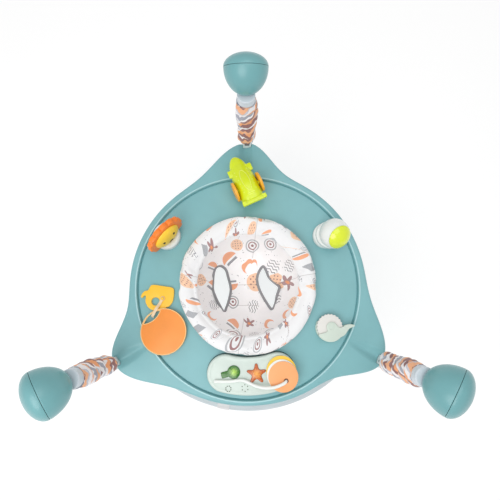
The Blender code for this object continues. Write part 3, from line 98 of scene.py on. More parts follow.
# Base ring: three bent steel tubes with a grey powder coat, each an arc between two feet. A raised
# plastic coupler is slid over each tube, and a fine joint shows where its two halves meet.
AXIS_Y = -0.02493
POSTS, TUBES = (90, 210, 330), (150, 270, 30)
POST_AT, ARC_AT = 0.468, 0.435
TUBE_RADIUS, TUBE_Z = 0.016, 0.030
ARC_RISE = ARC_AT - POST_AT / 2
ARC_RADIUS = (0.75 * POST_AT ** 2 + ARC_RISE ** 2) / (2 * ARC_RISE)
ARC_END = math.asin(POST_AT * math.sqrt(0.75) / ARC_RADIUS) - 0.020 / ARC_RADIUS


def turned_to(points, degrees):
    """Points of a piece made in its own frame, turned about the seat's axis:
    x' = x cos a - y sin a, y' = x sin a + y cos a + the axis's y."""
    points = np.asarray(points, float)
    a = math.radians(degrees)
    x, y, z = points[..., 0], points[..., 1], points[..., 2]
    return np.stack([x * math.cos(a) - y * math.sin(a), x * math.sin(a) + y * math.cos(a) + AXIS_Y, z], -1)


def ring_arc(a, degrees):
    """Points on a base tube's middle line at angles a off its own middle, the tube facing some degrees:
    its arc of radius ARC_RADIUS passes ARC_AT from the seat's axis."""
    x = ARC_AT - ARC_RADIUS + ARC_RADIUS * np.cos(a)
    return turned_to(np.stack([x, ARC_RADIUS * np.sin(a), np.full_like(a, TUBE_Z)], -1), degrees)


def shell(name, grid, along=False, ends=True, crease=38.0):
    """A mesh from an (n, m) grid of points. The second index runs round and closes; along joins the last
    ring to the first, and ends closes the first and last rings by a fan on their mean point. A ring that is
    one point repeated makes a pole."""
    grid = np.asarray(grid, float)
    n, m, _ = grid.shape
    i, j = np.meshgrid(np.arange(n if along else n - 1), np.arange(m), indexing="ij")
    i2, j2 = (i + 1) % n, (j + 1) % m
    quads = np.stack([i * m + j, i * m + j2, i2 * m + j2, i2 * m + j], -1).reshape(-1, 4)
    u = (np.stack([j, j + 1, j + 1, j], -1) / m).reshape(-1, 4)
    v = (np.stack([i, i, i + 1, i + 1], -1) / n).reshape(-1, 4)
    points = grid.reshape(-1, 3)
    faces, uv = quads.tolist(), np.stack([u, v], -1).reshape(-1, 2)
    if ends and not along:
        k = np.arange(m)
        points = np.vstack([points, grid[0].mean(0), grid[-1].mean(0)])
        low = np.stack([np.full(m, n * m), (k + 1) % m, k], -1)
        high = np.stack([np.full(m, n * m + 1), (n - 1) * m + k, (n - 1) * m + (k + 1) % m], -1)
        faces += low.tolist() + high.tolist()
        uv = np.vstack([uv, np.tile([[0.5, 0.0]], (3 * m, 1)), np.tile([[0.5, 1.0]], (3 * m, 1))])
    a, b, c, d = np.moveaxis(points[quads] - points.mean(0), 1, 0)
    volume = np.sum(a * np.cross(b, c)) + np.sum(a * np.cross(c, d))
    mesh = bpy.data.meshes.new(name)
    mesh.from_pydata(points.tolist(), [], faces)
    mesh.uv_layers.new(name="UVMap").data.foreach_set("uv", uv.astype(np.float32).ravel())
    if volume < 0:
        mesh.flip_normals()
    made = bpy.data.objects.new(name, mesh)
    bpy.context.scene.collection.objects.link(made)
    weld = bmesh.new()
    weld.from_mesh(mesh)
    bmesh.ops.remove_doubles(weld, verts=weld.verts, dist=1e-6)
    weld.to_mesh(mesh)
    weld.free()
    mesh.shade_smooth()
    mesh.set_sharp_from_angle(angle=math.radians(crease))
    return made


def swept(path, radius, sides=40, flat=1.0):
    """Rings of points round a path: at each path point, the path's side and up directions times the radius;
    flat thins the section upwards. The radius may be one for each point."""
    path = np.asarray(path, float)
    radius = np.broadcast_to(radius, (len(path),))[:, None, None]
    ahead = np.gradient(path, axis=0)
    ahead /= np.linalg.norm(ahead, axis=1)[:, None]
    upright = np.where(np.abs(ahead[:, 2:3]) > 0.9, [[1.0, 0.0, 0.0]], [[0.0, 0.0, 1.0]])
    side = np.cross(ahead, upright)
    side /= np.linalg.norm(side, axis=1)[:, None]
    up = np.cross(side, ahead)
    a = np.linspace(0, 2 * np.pi, sides, endpoint=False)[None, :, None]
    return path[:, None, :] + radius * (np.cos(a) * side[:, None, :] + flat * np.sin(a) * up[:, None, :])


def looped(path, radius, sides, flat=1.0):
    """Rings round a closed path, for a shell that is closed along it."""
    path = np.asarray(path, float)
    return swept(np.vstack([path[-2:], path, path[:2]]), radius, sides, flat)[2:-2]


def dress(piece, finish, body, slot, *stands_for):
    """Gives a finished piece its material and the body that it moves with (None where it bends between
    two), and hides the nodes that it stands for. slot is not used."""
    piece.data.materials.clear()
    piece.data.materials.append(finish)
    if body:
        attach(piece, body)
    if stands_for:
        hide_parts(*stands_for)
    return piece


def add_node(made, kind, **values):
    """A new node of a material with some of its inputs set: To_Min=1.0 sets the input To Min."""
    node = made.node_tree.nodes.new(kind)
    for key, value in values.items():
        node.inputs[key.replace("_", " ")].default_value = value
    return node


def moulded(name, colour, roughness, mottle, grain, grain_size=1400.0, coat=0.0):
    """Moulded plastic or coated metal: slow mottling of the colour, a fine grain as bump, and smears in the
    roughness. mottle is the share by which the colour darkens."""
    made = bpy.data.materials.new(name)
    made.use_nodes = True
    links, shader = made.node_tree.links, made.node_tree.nodes["Principled BSDF"]
    place = add_node(made, "ShaderNodeTexCoord").outputs["Object"]
    cloud = add_node(made, "ShaderNodeTexNoise", Scale=16.0, Detail=4.0)
    ramp = add_node(made, "ShaderNodeValToRGB")
    ramp.color_ramp.elements[0].position, ramp.color_ramp.elements[1].position = 0.35, 0.65
    ramp.color_ramp.elements[0].color = (*[c * (1 - mottle) for c in colour[:3]], 1.0)
    ramp.color_ramp.elements[1].color = colour
    smear = add_node(made, "ShaderNodeTexNoise", Scale=60.0, Detail=3.0)
    smears = add_node(made, "ShaderNodeMapRange", To_Min=roughness - 0.06, To_Max=roughness + 0.06)
    fine = add_node(made, "ShaderNodeTexNoise", Scale=grain_size, Detail=2.0)
    bump = add_node(made, "ShaderNodeBump", Strength=grain, Distance=0.0004)
    for texture in (cloud, smear, fine):
        links.new(place, texture.inputs["Vector"])
    links.new(cloud.outputs["Fac"], ramp.inputs["Fac"])
    links.new(ramp.outputs["Color"], shader.inputs["Base Color"])
    links.new(smear.outputs["Fac"], smears.inputs["Value"])
    links.new(smears.outputs["Result"], shader.inputs["Roughness"])
    links.new(fine.outputs["Fac"], bump.inputs["Height"])
    links.new(bump.outputs["Normal"], shader.inputs["Normal"])
    shader.inputs["Coat Weight"].default_value = coat
    shader.inputs["Coat Roughness"].default_value = 0.15
    return made


grey_coat = moulded("grey_powder_coat", tint(205, 214, 218), 0.42, 0.05, 0.22, 900.0)
for k, degrees in enumerate(TUBES):
    arc = ring_arc(np.linspace(-ARC_END, ARC_END, 97), degrees)
    ring = shell(f"ring_tube_{k + 1}", swept(arc, TUBE_RADIUS))
    dress(ring, grey_coat, "frame", "grey_plastic", f"base_tube_{k + 1}")

# Couplers: grey plastic collars with bevelled ends, clamped over the joint of each base tube. A
# narrower band beside the collar shows the joint of the tubes.
coupler_plastic = moulded("coupler_plastic", tint(222, 221, 222), 0.35, 0.05, 0.10)
for k, degrees in enumerate(TUBES):
    for part, low, high, proud in (("coupler", -0.120, -0.072, 0.0024),
            ("tube_joint", -0.0185, -0.0165, 0.0004)):
        s = np.linspace(0, 1, 15)
        a = (low + (high - low) * s) / ARC_RADIUS
        bevel = np.clip(np.minimum(s, 1 - s) * (high - low) / 0.0018, 0, 1)
        radius = TUBE_RADIUS - 0.001 + (0.001 + proud) * np.sqrt(bevel)
        band = shell(f"{part}_{k + 1}", swept(ring_arc(a, degrees), radius))
        dress(band, coupler_plastic, "frame", "grey_plastic")

# Feet: white moulded sockets that take two base tubes and a post, each on a black rubber pad.
FOOT_TOP = 0.085


def lathed(profile, sides, lean=None):
    """Rings of a turned piece round its own upright axis: each profile point (r, z) gives the ring
    r cos a, r sin a, z. lean is a rotation that tilts them."""
    r, z = np.array(profile, float).T
    a = np.linspace(0, 2 * np.pi, sides, endpoint=False)
    points = np.stack([np.outer(r, np.cos(a)), np.outer(r, np.sin(a)), np.outer(z, np.ones(sides))], -1)
    return points if lean is None else points @ np.array(lean).T


def spun(profile, degrees, centre, sides=64, lean=None):
    """Rings of a turned piece that stands at a centre in a post's own frame."""
    return turned_to(lathed(profile, sides, lean) + np.array(centre), degrees)


white_plastic = moulded("white_plastic", tint(226, 229, 227), 0.36, 0.04, 0.08)
black_rubber = moulded("black_rubber", tint(44, 44, 45), 0.72, 0.15, 0.35, 500.0)
for k, degrees in enumerate(POSTS):
    shoulder = [(0.0255 + 0.0105 * math.cos(x), 0.052 + 0.010 * math.sin(x))
        for x in np.linspace(0, math.pi / 2, 8)]
    neck = [(0.0255 - 0.0045 * s, 0.062 + (FOOT_TOP - 0.0645) * s ** 1.4) for s in np.linspace(0, 1, 12)]
    profile = [(0.0, 0.0053), (0.0335, 0.0053), (0.0355, 0.0070), (0.036, 0.010), *shoulder, *neck[1:],
        (0.0195, FOOT_TOP), (0.0165, FOOT_TOP), (0.0165, FOOT_TOP - 0.006), (0.0, FOOT_TOP - 0.006)]
    foot = shell(f"foot_shell_{k + 1}", spun(profile, degrees, (POST_AT, 0, 0)), ends=False)
    dress(foot, white_plastic, "frame", "white_plastic", f"foot_{k + 1}")
    for side in (-1, 1):
        ends = ring_arc(side * (ARC_END - np.array([0.004, 0.040]) / ARC_RADIUS), degrees - side * 60)
        s = np.linspace(0, 1, 9)[:, None]
        sleeve = shell(f"foot_sleeve_{k + 1}_{'left' if side < 0 else 'right'}",
            swept(ends[0] + (ends[1] - ends[0]) * s, 0.0199 - 0.0015 * (s[:, 0] > 0.95)))
        dress(sleeve, white_plastic, "frame", "white_plastic")
    profile = [(0, 0), (0.0250, 0), (0.026, 0.001), (0.026, 0.004), (0.0252, 0.005), (0, 0.005)]
    pad = shell(f"rubber_pad_{k + 1}", spun(profile, degrees, (POST_AT, 0, 0)), ends=False)
    dress(pad, black_rubber, "frame", "rubber", f"foot_pad_{k + 1}")

# Posts: straight steel tubes with the same grey coat, pushed into the feet and the housings.
for k, degrees in enumerate(POSTS):
    pipe = [(0.016, 0.025), (0.016, 0.765), (0.0145, 0.765), (0.0145, 0.025)]
    post = shell(f"post_tube_{k + 1}", spun(pipe, degrees, (POST_AT, 0, 0)), along=True)
    dress(post, grey_coat, "frame", "grey_plastic", f"post_{k + 1}")

# Spring housings: each an egg of two teal moulded shells, pushed on a post and leaning towards the
# tray. A fine groove runs round the egg where the shells meet.
SEAM_AT, SEAM_Z = 0.4655, 0.756
EGG_RADIUS, CAP_DEPTH, BODY_DEPTH = 0.051, 0.030, 0.060
EGG_LEAN = Euler((0, math.radians(63.0), 0)).to_matrix()


def egg_half(depth, lip=0.0003):
    """A quarter of an ellipse from the pole to the seam, r = R sin t, z = depth cos t, with its last
    millimetre rolled in to a lip and closed by a flat wall."""
    t = np.linspace(0, np.pi / 2, 40)
    r, z = EGG_RADIUS * np.sin(t), depth * np.cos(t)
    sign = math.copysign(1.0, depth)
    keep = np.abs(z) > 0.0012
    r, z = r[keep], z[keep]
    roll = [(EGG_RADIUS - 0.00005, sign * 0.0009), (EGG_RADIUS - 0.0003, sign * 0.00045),
        (EGG_RADIUS - 0.0011, sign * lip), (0.0, sign * lip)]
    return list(zip(r, z)) + roll


teal_plastic = moulded("teal_plastic", tint(110, 165, 169), 0.34, 0.07, 0.05, 1200.0, 0.15)
for k, degrees in enumerate(POSTS):
    for part, depth in (("cap", CAP_DEPTH), ("body", -BODY_DEPTH)):
        rings = spun(egg_half(depth), degrees, (SEAM_AT, 0, SEAM_Z), 96, EGG_LEAN)
        half = shell(f"egg_{part}_{k + 1}", rings, ends=False)
        dress(half, teal_plastic, "frame", "teal_plastic", f"housing_{part}_{k + 1}")

# Necks: pale plastic sockets under the housings, closed at the top with a rounded shoulder and
# stiffened by a bead near the mouth. A steel pin across each carries the spring.
HANGER_AT, HANGER_Z, PIN_RADIUS = 0.420, 0.712, 0.0025
NECK_LOW, NECK_TOP = 0.690, 0.722
neck_plastic = moulded("neck_plastic", tint(205, 213, 220), 0.40, 0.06, 0.08)
pin_steel = moulded("pin_steel", tint(176, 178, 182), 0.28, 0.10, 0.10, 2200.0)
pin_steel.node_tree.nodes["Principled BSDF"].inputs["Metallic"].default_value = 1.0
for k, degrees in enumerate(POSTS):
    shoulder = [(0.0185 + 0.0030 * math.cos(x), NECK_TOP - 0.0030 + 0.0030 * math.sin(x))
        for x in np.linspace(0, math.pi / 2, 7)]
    profile = [(0.0, NECK_TOP - 0.0025), (0.0188, NECK_TOP - 0.0025), (0.0188, NECK_LOW),
        (0.0212, NECK_LOW), (0.0215, NECK_LOW + 0.0006), (0.0215, NECK_LOW + 0.011),
        (0.0221, NECK_LOW + 0.0125), (0.0221, NECK_LOW + 0.0150), (0.0215, NECK_LOW + 0.0165),
        *shoulder, (0.0, NECK_TOP)]
    neck = shell(f"neck_socket_{k + 1}", spun(profile, degrees, (HANGER_AT, 0, 0)), ends=False)
    dress(neck, neck_plastic, "frame", "grey_plastic", f"spring_neck_{k + 1}")
    pin_path = turned_to([(HANGER_AT, 0.0195 * s, HANGER_Z) for s in np.linspace(-1, 1, 9)], degrees)
    pin = shell(f"hanger_pin_{k + 1}", swept(pin_path, PIN_RADIUS, 24))
    dress(pin, pin_steel, "frame", "spring_steel")

# Springs: zinc-plated wire wound into seven turns, with a hook over the pin in the neck and one
# round the pin of the clip. They stretch between the frame and the tray.
SPRING_RADIUS, WIRE_RADIUS, TURNS = 0.0090, 0.0013, 7
CLIP_EYE_Z = 0.4695


def spring_line():
    """Hook, shank, helix, shank, hook: the helix is R cos a, R sin a with z falling evenly, and the hooks
    are arcs round the two pins."""
    hook = PIN_RADIUS + WIRE_RADIUS + 0.0003
    top, low = HANGER_Z - 0.016, CLIP_EYE_Z + 0.016
    a = np.radians(np.linspace(200, 0, 13))
    first = np.stack([hook * np.cos(a), 0 * a, HANGER_Z + hook * np.sin(a)], -1)
    a = np.linspace(0, 2 * np.pi * TURNS, TURNS * 28 + 1)
    fall = (low - top) * a / a[-1]
    coil = np.stack([SPRING_RADIUS * np.cos(a), SPRING_RADIUS * np.sin(a), top + fall], -1)
    a = -np.radians(np.linspace(0, 200, 13))
    last = np.stack([hook * np.cos(a), 0 * a, CLIP_EYE_Z + hook * np.sin(a)], -1)
    return np.vstack([first, coil, last])


zinc = moulded("zinc_wire", tint(184, 186, 188), 0.30, 0.12, 0.10, 2600.0)
zinc.node_tree.nodes["Principled BSDF"].inputs["Metallic"].default_value = 1.0
for k, degrees in enumerate(POSTS):
    wire = turned_to(spring_line() + np.array([HANGER_AT, 0, 0]), degrees)
    spring = shell(f"coil_spring_{k + 1}", swept(wire, WIRE_RADIUS, 12))
    dress(spring, zinc, None, "spring_steel", f"spring_{k + 1}")
    top, low = turned_to([[HANGER_AT, 0, HANGER_Z - 0.008], [HANGER_AT, 0, CLIP_EYE_Z + 0.008]], degrees)
    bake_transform(spring)

# Safety straps: flat woven webbing inside the covers, from the neck down to the clip, which holds the
# tray if a spring breaks. The weave shows as a fine herringbone.


def mixed(made, share, first, second):
    """The result of a colour mix in a material; each colour is a constant or another node's result."""
    node = add_node(made, "ShaderNodeMix")
    node.data_type = "RGBA"
    made.node_tree.links.new(share, node.inputs["Factor"])
    for key, colour in (("A", first), ("B", second)):
        if isinstance(colour, tuple):
            node.inputs[key].default_value = colour
        else:
            made.node_tree.links.new(colour, node.inputs[key])
    return node.outputs["Result"]


def figure(made, operation, *values):
    """Adds one maths node to a material and gives its result; each value is a number or another node's
    result."""
    node = add_node(made, "ShaderNodeMath")
    node.operation = operation
    for socket, value in zip(node.inputs, values):
        if isinstance(value, (int, float)):
            socket.default_value = value
        else:
            made.node_tree.links.new(value, socket)
    return node.outputs[0]


def woven(name, colour, second, pitch, roughness=0.85, relief=0.5):
    """Woven cloth: two crossed sets of threads as bump and as a slight change between two colours, on
    Object coordinates, with a soft sheen. pitch is the thread spacing in metres."""
    made = bpy.data.materials.new(name)
    made.use_nodes = True
    links, shader = made.node_tree.links, made.node_tree.nodes["Principled BSDF"]
    place = add_node(made, "ShaderNodeTexCoord").outputs["Object"]
    threads = []
    for way in ("X", "Y"):
        wave = add_node(made, "ShaderNodeTexWave", Scale=0.314 / pitch, Distortion=0.6)
        wave.bands_direction = way
        links.new(place, wave.inputs["Vector"])
        threads.append(wave.outputs["Fac"])
    blotch = add_node(made, "ShaderNodeTexNoise", Scale=120.0, Detail=4.0)
    links.new(place, blotch.inputs["Vector"])
    cross = figure(made, "MULTIPLY", *threads)
    bump = add_node(made, "ShaderNodeBump", Strength=relief, Distance=0.0004)
    share = figure(made, "MULTIPLY", cross, blotch.outputs["Fac"])
    links.new(mixed(made, share, colour, second), shader.inputs["Base Color"])
    links.new(cross, bump.inputs["Height"])
    links.new(bump.outputs["Normal"], shader.inputs["Normal"])
    shader.inputs["Roughness"].default_value = roughness
    shader.inputs["Sheen Weight"].default_value = 0.25
    return made


def ribbon(path, width, thickness):
    """Rings of a flat strip whose path lies in its own x-z plane: the section is a thin superellipse, half
    the width across y and half the thickness along the path's normal."""
    path = np.asarray(path, float)
    ahead = np.gradient(path, axis=0)
    ahead /= np.linalg.norm(ahead, axis=1)[:, None]
    normal = np.stack([-ahead[:, 1], ahead[:, 0]], -1)
    a = np.linspace(0, 2 * np.pi, 40, endpoint=False)
    across = np.sign(np.cos(a)) * np.abs(np.cos(a)) ** 0.3 * width / 2
    over = np.sign(np.sin(a)) * np.abs(np.sin(a)) ** 0.5 * thickness / 2
    x = path[:, :1] + normal[:, :1] * over
    z = path[:, 1:] + normal[:, 1:] * over
    return np.stack([x, np.broadcast_to(across, x.shape), z], -1)


webbing = woven("grey_webbing", tint(70, 71, 76), tint(104, 105, 110), 0.0012)
for k, degrees in enumerate(POSTS):
    knots = [(-0.0155, 0.718), (-0.0155, 0.60), (-0.0155, 0.508), (-0.0100, 0.490),
        (-0.0060, 0.477), (-0.0060, 0.468)]
    t = np.linspace(0, len(knots) - 1, 60)
    line = np.column_stack([np.interp(t, range(len(knots)), column) for column in zip(*knots)])
    strip = turned_to(ribbon(line, 0.014, 0.0018) + np.array([HANGER_AT, 0, 0]), degrees)
    strap = shell(f"webbing_strap_{k + 1}", strip)
    dress(strap, webbing, None, "webbing", f"safety_strap_{k + 1}")
    top, low = turned_to([[HANGER_AT, 0, 0.700], [HANGER_AT, 0, 0.478]], degrees)
    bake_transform(strap)

# Spring covers: sleeves of striped cotton, pushed together over the springs so that they stand in
# rings of soft gathers. The upper hem is open round the neck, and the lower one is drawn in.
COVER_TOP, COVER_LOW, GATHERS = 0.7005, 0.4880, 7


def gathered(seed):
    """Rings of a gathered sleeve. At p = folds s + a wander of sines round the sleeve, the crest (1/2 - 1/2
    cos 2 pi p)^0.8 pushes the cloth out and lets it hang down over the next fold; the lower end is drawn in
    and the inner face follows 1.2 mm inside."""
    s = np.linspace(0, 1, 190)[:, None]
    a = np.linspace(0, 2 * np.pi, 96, endpoint=False)[None, :]
    wander = (0.20 * np.sin(a + seed + 4.0 * s) + 0.13 * np.sin(2 * a + 2.1 * seed - 7 * s)
        + 0.05 * np.sin(5 * a - seed + 11 * s))
    p = GATHERS * (s + 0.012 * np.sin(13 * s + seed))
    p = p + wander * np.clip(s / 0.12, 0, 1) * np.clip((1 - s) / 0.1, 0, 1)
    crest = (0.5 - 0.5 * np.cos(2 * np.pi * p)) ** 0.8
    uneven = 1 + 0.30 * np.sin(2 * a + 9 * s + 3 * seed) + 0.20 * np.sin(3 * a - 5 * s + seed)
    crease = 0.10 * np.sin(13 * a + 6 * np.sin(7 * s + seed)) * crest * (1 - crest)
    ends = np.clip(s / 0.04, 0, 1) * np.clip((1 - s) / 0.05, 0, 1)
    swell = 0.0206 + 0.0005 * np.sin(5 * s + seed) + (0.0062 * crest * uneven + 0.006 * crease) * ends
    draw_in = 1 - 0.60 * np.clip((s - 0.80) / 0.20, 0, 1) ** 1.4
    open_hem = 0.0030 * np.exp(-s / 0.018)
    r = (swell + open_hem) * draw_in
    z = COVER_TOP + (COVER_LOW - COVER_TOP) * s - 0.0078 * crest * ends
    z = z + 0.0030 * np.cos(2 * a) * np.exp(-s / 0.03)
    outer = np.stack([r * np.cos(a), r * np.sin(a), z], -1)
    inner = np.stack([(r - 0.0012) * np.cos(a), (r - 0.0012) * np.sin(a), z], -1)
    return np.concatenate([outer, inner[::-1]])


def striped(name):
    """Striped cotton: bands of white, orange, grey and mauve along the sleeve's UV, bent by noise, with a
    fine weave as bump."""
    made = woven(name, tint(236, 232, 228), tint(222, 218, 214), 0.0009, 0.88, 0.35)
    links = made.node_tree.links
    uv = add_node(made, "ShaderNodeTexCoord").outputs["UV"]
    apart = add_node(made, "ShaderNodeSeparateXYZ")
    ripple = add_node(made, "ShaderNodeTexNoise", Scale=5.0, Detail=2.0)
    ramp = add_node(made, "ShaderNodeValToRGB")
    ramp.color_ramp.interpolation = "CONSTANT"
    bands = [(0.0, (240, 236, 238)), (0.12, (240, 166, 116)), (0.27, (146, 106, 104)),
        (0.38, (240, 236, 238)), (0.50, (166, 168, 180)), (0.62, (244, 240, 242)),
        (0.70, (156, 114, 112)), (0.82, (240, 178, 136)), (0.93, (200, 200, 210))]
    for position, colour in bands[2:]:
        ramp.color_ramp.elements.new(position)
    for element, (position, colour) in zip(ramp.color_ramp.elements, bands):
        element.position, element.color = position, tint(*colour)
    links.new(uv, apart.inputs["Vector"])
    links.new(uv, ripple.inputs["Vector"])
    slant = figure(made, "MULTIPLY_ADD", apart.outputs["Y"], 8.0, apart.outputs["X"])
    bent = figure(made, "MULTIPLY_ADD", ripple.outputs["Fac"], 0.7, slant)
    links.new(figure(made, "FRACT", bent), ramp.inputs["Fac"])
    links.new(ramp.outputs["Color"], made.node_tree.nodes["Principled BSDF"].inputs["Base Color"])
    return made


striped_cotton = striped("striped_cotton")
for k, degrees in enumerate(POSTS):
    sleeve_points = turned_to(gathered(0.7 + 2.1 * k) + np.array([HANGER_AT, 0, 0]), degrees)
    sleeve = shell(f"cover_sleeve_{k + 1}", sleeve_points, along=True, crease=80.0)
    dress(sleeve, striped_cotton, None, "cover_fabric", f"spring_cover_{k + 1}")
    top, low = turned_to([[HANGER_AT, 0, 0.689], [HANGER_AT, 0, 0.484]], degrees)
    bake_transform(sleeve)

# Clips: white moulded forked tongues that stand in slots near the tray's tips, held by a bar below.
# Their edges are eased, as a mould leaves them.
clip_plastic = moulded("clip_plastic", tint(244, 248, 247), 0.34, 0.05, 0.06)


def ease_edges(node, finish):
    """A CAD node that stays: its loose triangles are welded, its sharp edges get a small round, and it
    takes a material."""
    weld = node.modifiers.new("weld", "WELD")
    weld.merge_threshold = 0.00001
    bevel = node.modifiers.new("eased_edges", "BEVEL")
    bevel.width, bevel.segments = 0.0006, 2
    bevel.limit_method, bevel.angle_limit = "ANGLE", math.radians(32)
    bevel.harden_normals = False
    node.data.materials.clear()
    node.data.materials.append(finish)


for k in range(3):
    ease_edges(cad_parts[f"spring_clip_{k + 1}"], clip_plastic)

# Tray: one teal moulded shell with a round hole for the seat, a groove round the play surface, a
# raised rim and three lobes. A shallow valley runs to each tip and ends at the clip's slot.
TRAY_TOP, HOLE_RADIUS, RIM_INNER = 0.450, 0.186, 0.315
SIDE_RADIUS, TIP_RADIUS, LOBE_SPREAD = 0.338, 0.430, math.radians(10.5)
RIM_RISE, EDGE_ROUND, SKIRT_LOW, WALL = 0.007, 0.009, 0.414, 0.003
BEAD_END = 0.3202


def across_tray(share):
    """The radius at a share of the way from the tray's hole to its rim."""
    return HOLE_RADIUS + share * (RIM_INNER - HOLE_RADIUS)


def clip_slot(r, offset):
    """Depth of the clip's slot: 6 mm inside a rectangle round the clip, else nothing."""
    x, y = r * np.cos(offset) - HANGER_AT, r * np.sin(offset)
    return 0.0060 * ((np.abs(x) < 0.0056) & (np.abs(y) < 0.0126))


def tray_height(r, offset):
    """Height of the tray's top at radius r and an angle off the lobe's middle: flat, less a sine-squared
    groove, plus a smooth step to the rim with a small bead on its edge, less a soft valley that widens and
    deepens to the tip, and the slot of the clip."""
    groove = 0.0036 * np.sin(np.pi * np.clip((r - 0.3112) / 0.0050, 0, 1)) ** 2
    step = np.clip((r - 0.3134) / 0.0040, 0, 1)
    rim = RIM_RISE * step * step * (3 - 2 * step) + 0.0009 * np.exp(-(((r - 0.3182) / 0.0014) ** 2))
    across = np.abs(r * np.sin(offset - 0.012))
    along = np.clip((r - RIM_INNER - 0.004) / (TIP_RADIUS - RIM_INNER) * 2.2, 0, 1)
    side = np.clip(1 - across / (0.011 + 0.011 * along), 0, 1)
    dip = 0.0095 * side ** 2 * (3 - 2 * side) * along * (np.abs(offset) < 0.6)
    return TRAY_TOP - groove + rim - dip - clip_slot(r, offset)


def tray_grid():
    """The tray as rings that follow its outline: edge = side + (tip - side) exp(-(offset / spread)^2 / 2),
    with a narrower spread on one side of a lobe than on the other, less 8 mm at the front. Each column runs
    up the hole's wall, over the top, round the edge, down the skirt and back underneath."""
    s = np.linspace(-1, 1, 288, endpoint=False)
    offset = np.tile(np.pi / 3 * (0.12 * s + 0.88 * s * np.abs(s) ** 1.5), 3)
    angle = offset + np.repeat(np.radians(POSTS), 288)
    spread = LOBE_SPREAD * np.where(offset < 0, 0.86, 1.14)
    edge = SIDE_RADIUS + (TIP_RADIUS - SIDE_RADIUS) * np.exp(-0.5 * (offset / spread) ** 2)
    edge = edge - 0.008 * np.exp(-((np.degrees(angle) - 270) / 26) ** 2)
    shoulder = edge - EDGE_ROUND
    rows = [(HOLE_RADIUS, 0.420), (HOLE_RADIUS, 0.4478)]
    for a in np.linspace(0.15, 1, 6) * np.pi / 2:
        rows.append((HOLE_RADIUS + 0.002 * (1 - math.cos(a)), 0.448 + 0.002 * math.sin(a)))
    fixed = np.concatenate([np.linspace(0.192, 0.309, 6), np.linspace(0.3110, BEAD_END, 26)])
    share = np.concatenate([np.linspace(0.05, 0.9, 13), np.linspace(0.905, 1, 18)])
    rows += [(r, tray_height(r, offset)) for r in fixed]
    for f in share:
        r = BEAD_END + (shoulder - BEAD_END) * f
        rows.append((r, tray_height(r, offset)))
    end_z = tray_height(shoulder, offset) + 0.0060 * (tray_height(shoulder, offset) < 0.4435)
    for a in np.linspace(0.06, 1, 18) * np.pi / 2:
        r = shoulder + EDGE_ROUND * math.sin(a)
        rows.append((r, end_z - EDGE_ROUND * (1 - math.cos(a)) - clip_slot(r, offset)))
    rows += [(edge, SKIRT_LOW + 0.0012), (edge - 0.0004, SKIRT_LOW + 0.0003), (edge - 0.0012, SKIRT_LOW),
        (edge - WALL + 0.0006, SKIRT_LOW), (edge - WALL, SKIRT_LOW + 0.0008),
        (edge - WALL, end_z - EDGE_ROUND - WALL)]
    for f in (1.0, 0.45, 0.1):
        r = BEAD_END + (shoulder - WALL - BEAD_END) * f
        rows.append((r, tray_height(r, offset) - WALL - 0.0035))
    rows += [(0.308, 0.4425), (0.300, 0.4468), (HOLE_RADIUS + 0.006, 0.4468),
        (HOLE_RADIUS + WALL, 0.4445), (HOLE_RADIUS + WALL, 0.420)]
    r, z = (np.array([row[k] + 0 * edge for row in rows]) for k in (0, 1))
    return turned_to(np.stack([r * np.cos(angle), r * np.sin(angle), z], -1), 0)


def painted_highlight_ring(made, radius, width, lighter):
    """Lightens a moulded finish in a thin ring round the seat's axis, a painted highlight where the rim's
    edge catches the light: share = 1 - |distance to the ring| / width, on Object coordinates."""
    links, shader = made.node_tree.links, made.node_tree.nodes["Principled BSDF"]
    colour = shader.inputs["Base Color"].links[0].from_socket
    centred = add_node(made, "ShaderNodeMapping", Location=(0.0, -AXIS_Y, 0.0), Scale=(1.0, 1.0, 0.0))
    reach = add_node(made, "ShaderNodeVectorMath")
    reach.operation = "LENGTH"
    share = add_node(made, "ShaderNodeMapRange", From_Min=width, From_Max=0.0)
    links.new(add_node(made, "ShaderNodeTexCoord").outputs["Object"], centred.inputs["Vector"])
    links.new(centred.outputs[0], reach.inputs[0])
    gap = figure(made, "SUBTRACT", reach.outputs["Value"], radius)
    links.new(figure(made, "ABSOLUTE", gap), share.inputs["Value"])
    links.new(mixed(made, share.outputs["Result"], colour, lighter), shader.inputs["Base Color"])


tray_plastic = moulded("tray_plastic", tint(126, 180, 185), 0.40, 0.05, 0.05, 1100.0, 0.08)
# Painted highlight: a lighter teal ring, 3 mm wide, along the bead of the tray's rim.
painted_highlight_ring(tray_plastic, 0.3184, 0.0030, tint(186, 224, 228))
tray_shell = shell("tray_shell", tray_grid(), along=True, crease=50.0)
dress(tray_shell, tray_plastic, "tray", "teal_plastic", "tray")

# Seat ring: the white moulded ring that turns in the tray's hole. Its flange lies on the tray and
# its lip snaps in below the collar.
ring_plastic = moulded("ring_plastic", tint(232, 232, 230), 0.36, 0.05, 0.06)
ring_profile = [(0.1660, 0.4543), (0.1660, 0.4144), (0.1672, 0.4136), (0.1846, 0.4136), (0.1884, 0.4160),
    (0.1884, 0.4192), (0.1854, 0.4194), (0.1854, 0.4503), (0.1920, 0.4503), (0.1929, 0.4510),
    (0.1930, 0.4534), (0.1920, 0.4543)]
seat_ring = shell("swivel_ring", spun(ring_profile, 0, (0, 0, 0), 160), along=True)
dress(seat_ring, ring_plastic, "seat", "white_plastic", "seat_ring")

# Seat pouch: a bowl of printed cotton sewn to the roll, with two leg holes whose edges are bound in
# grey tape, and a crotch strip between them. It hangs in shallow folds from the rim.
POUCH_RIM, POUCH_DEPTH_Z, POUCH_TOP_Z = 0.1490, 0.2700, 0.4650
POUCH_FLAT_RIM = 0.1380
SEAT_SEAMS = (8.0, 81.0, 172.0, 262.0)


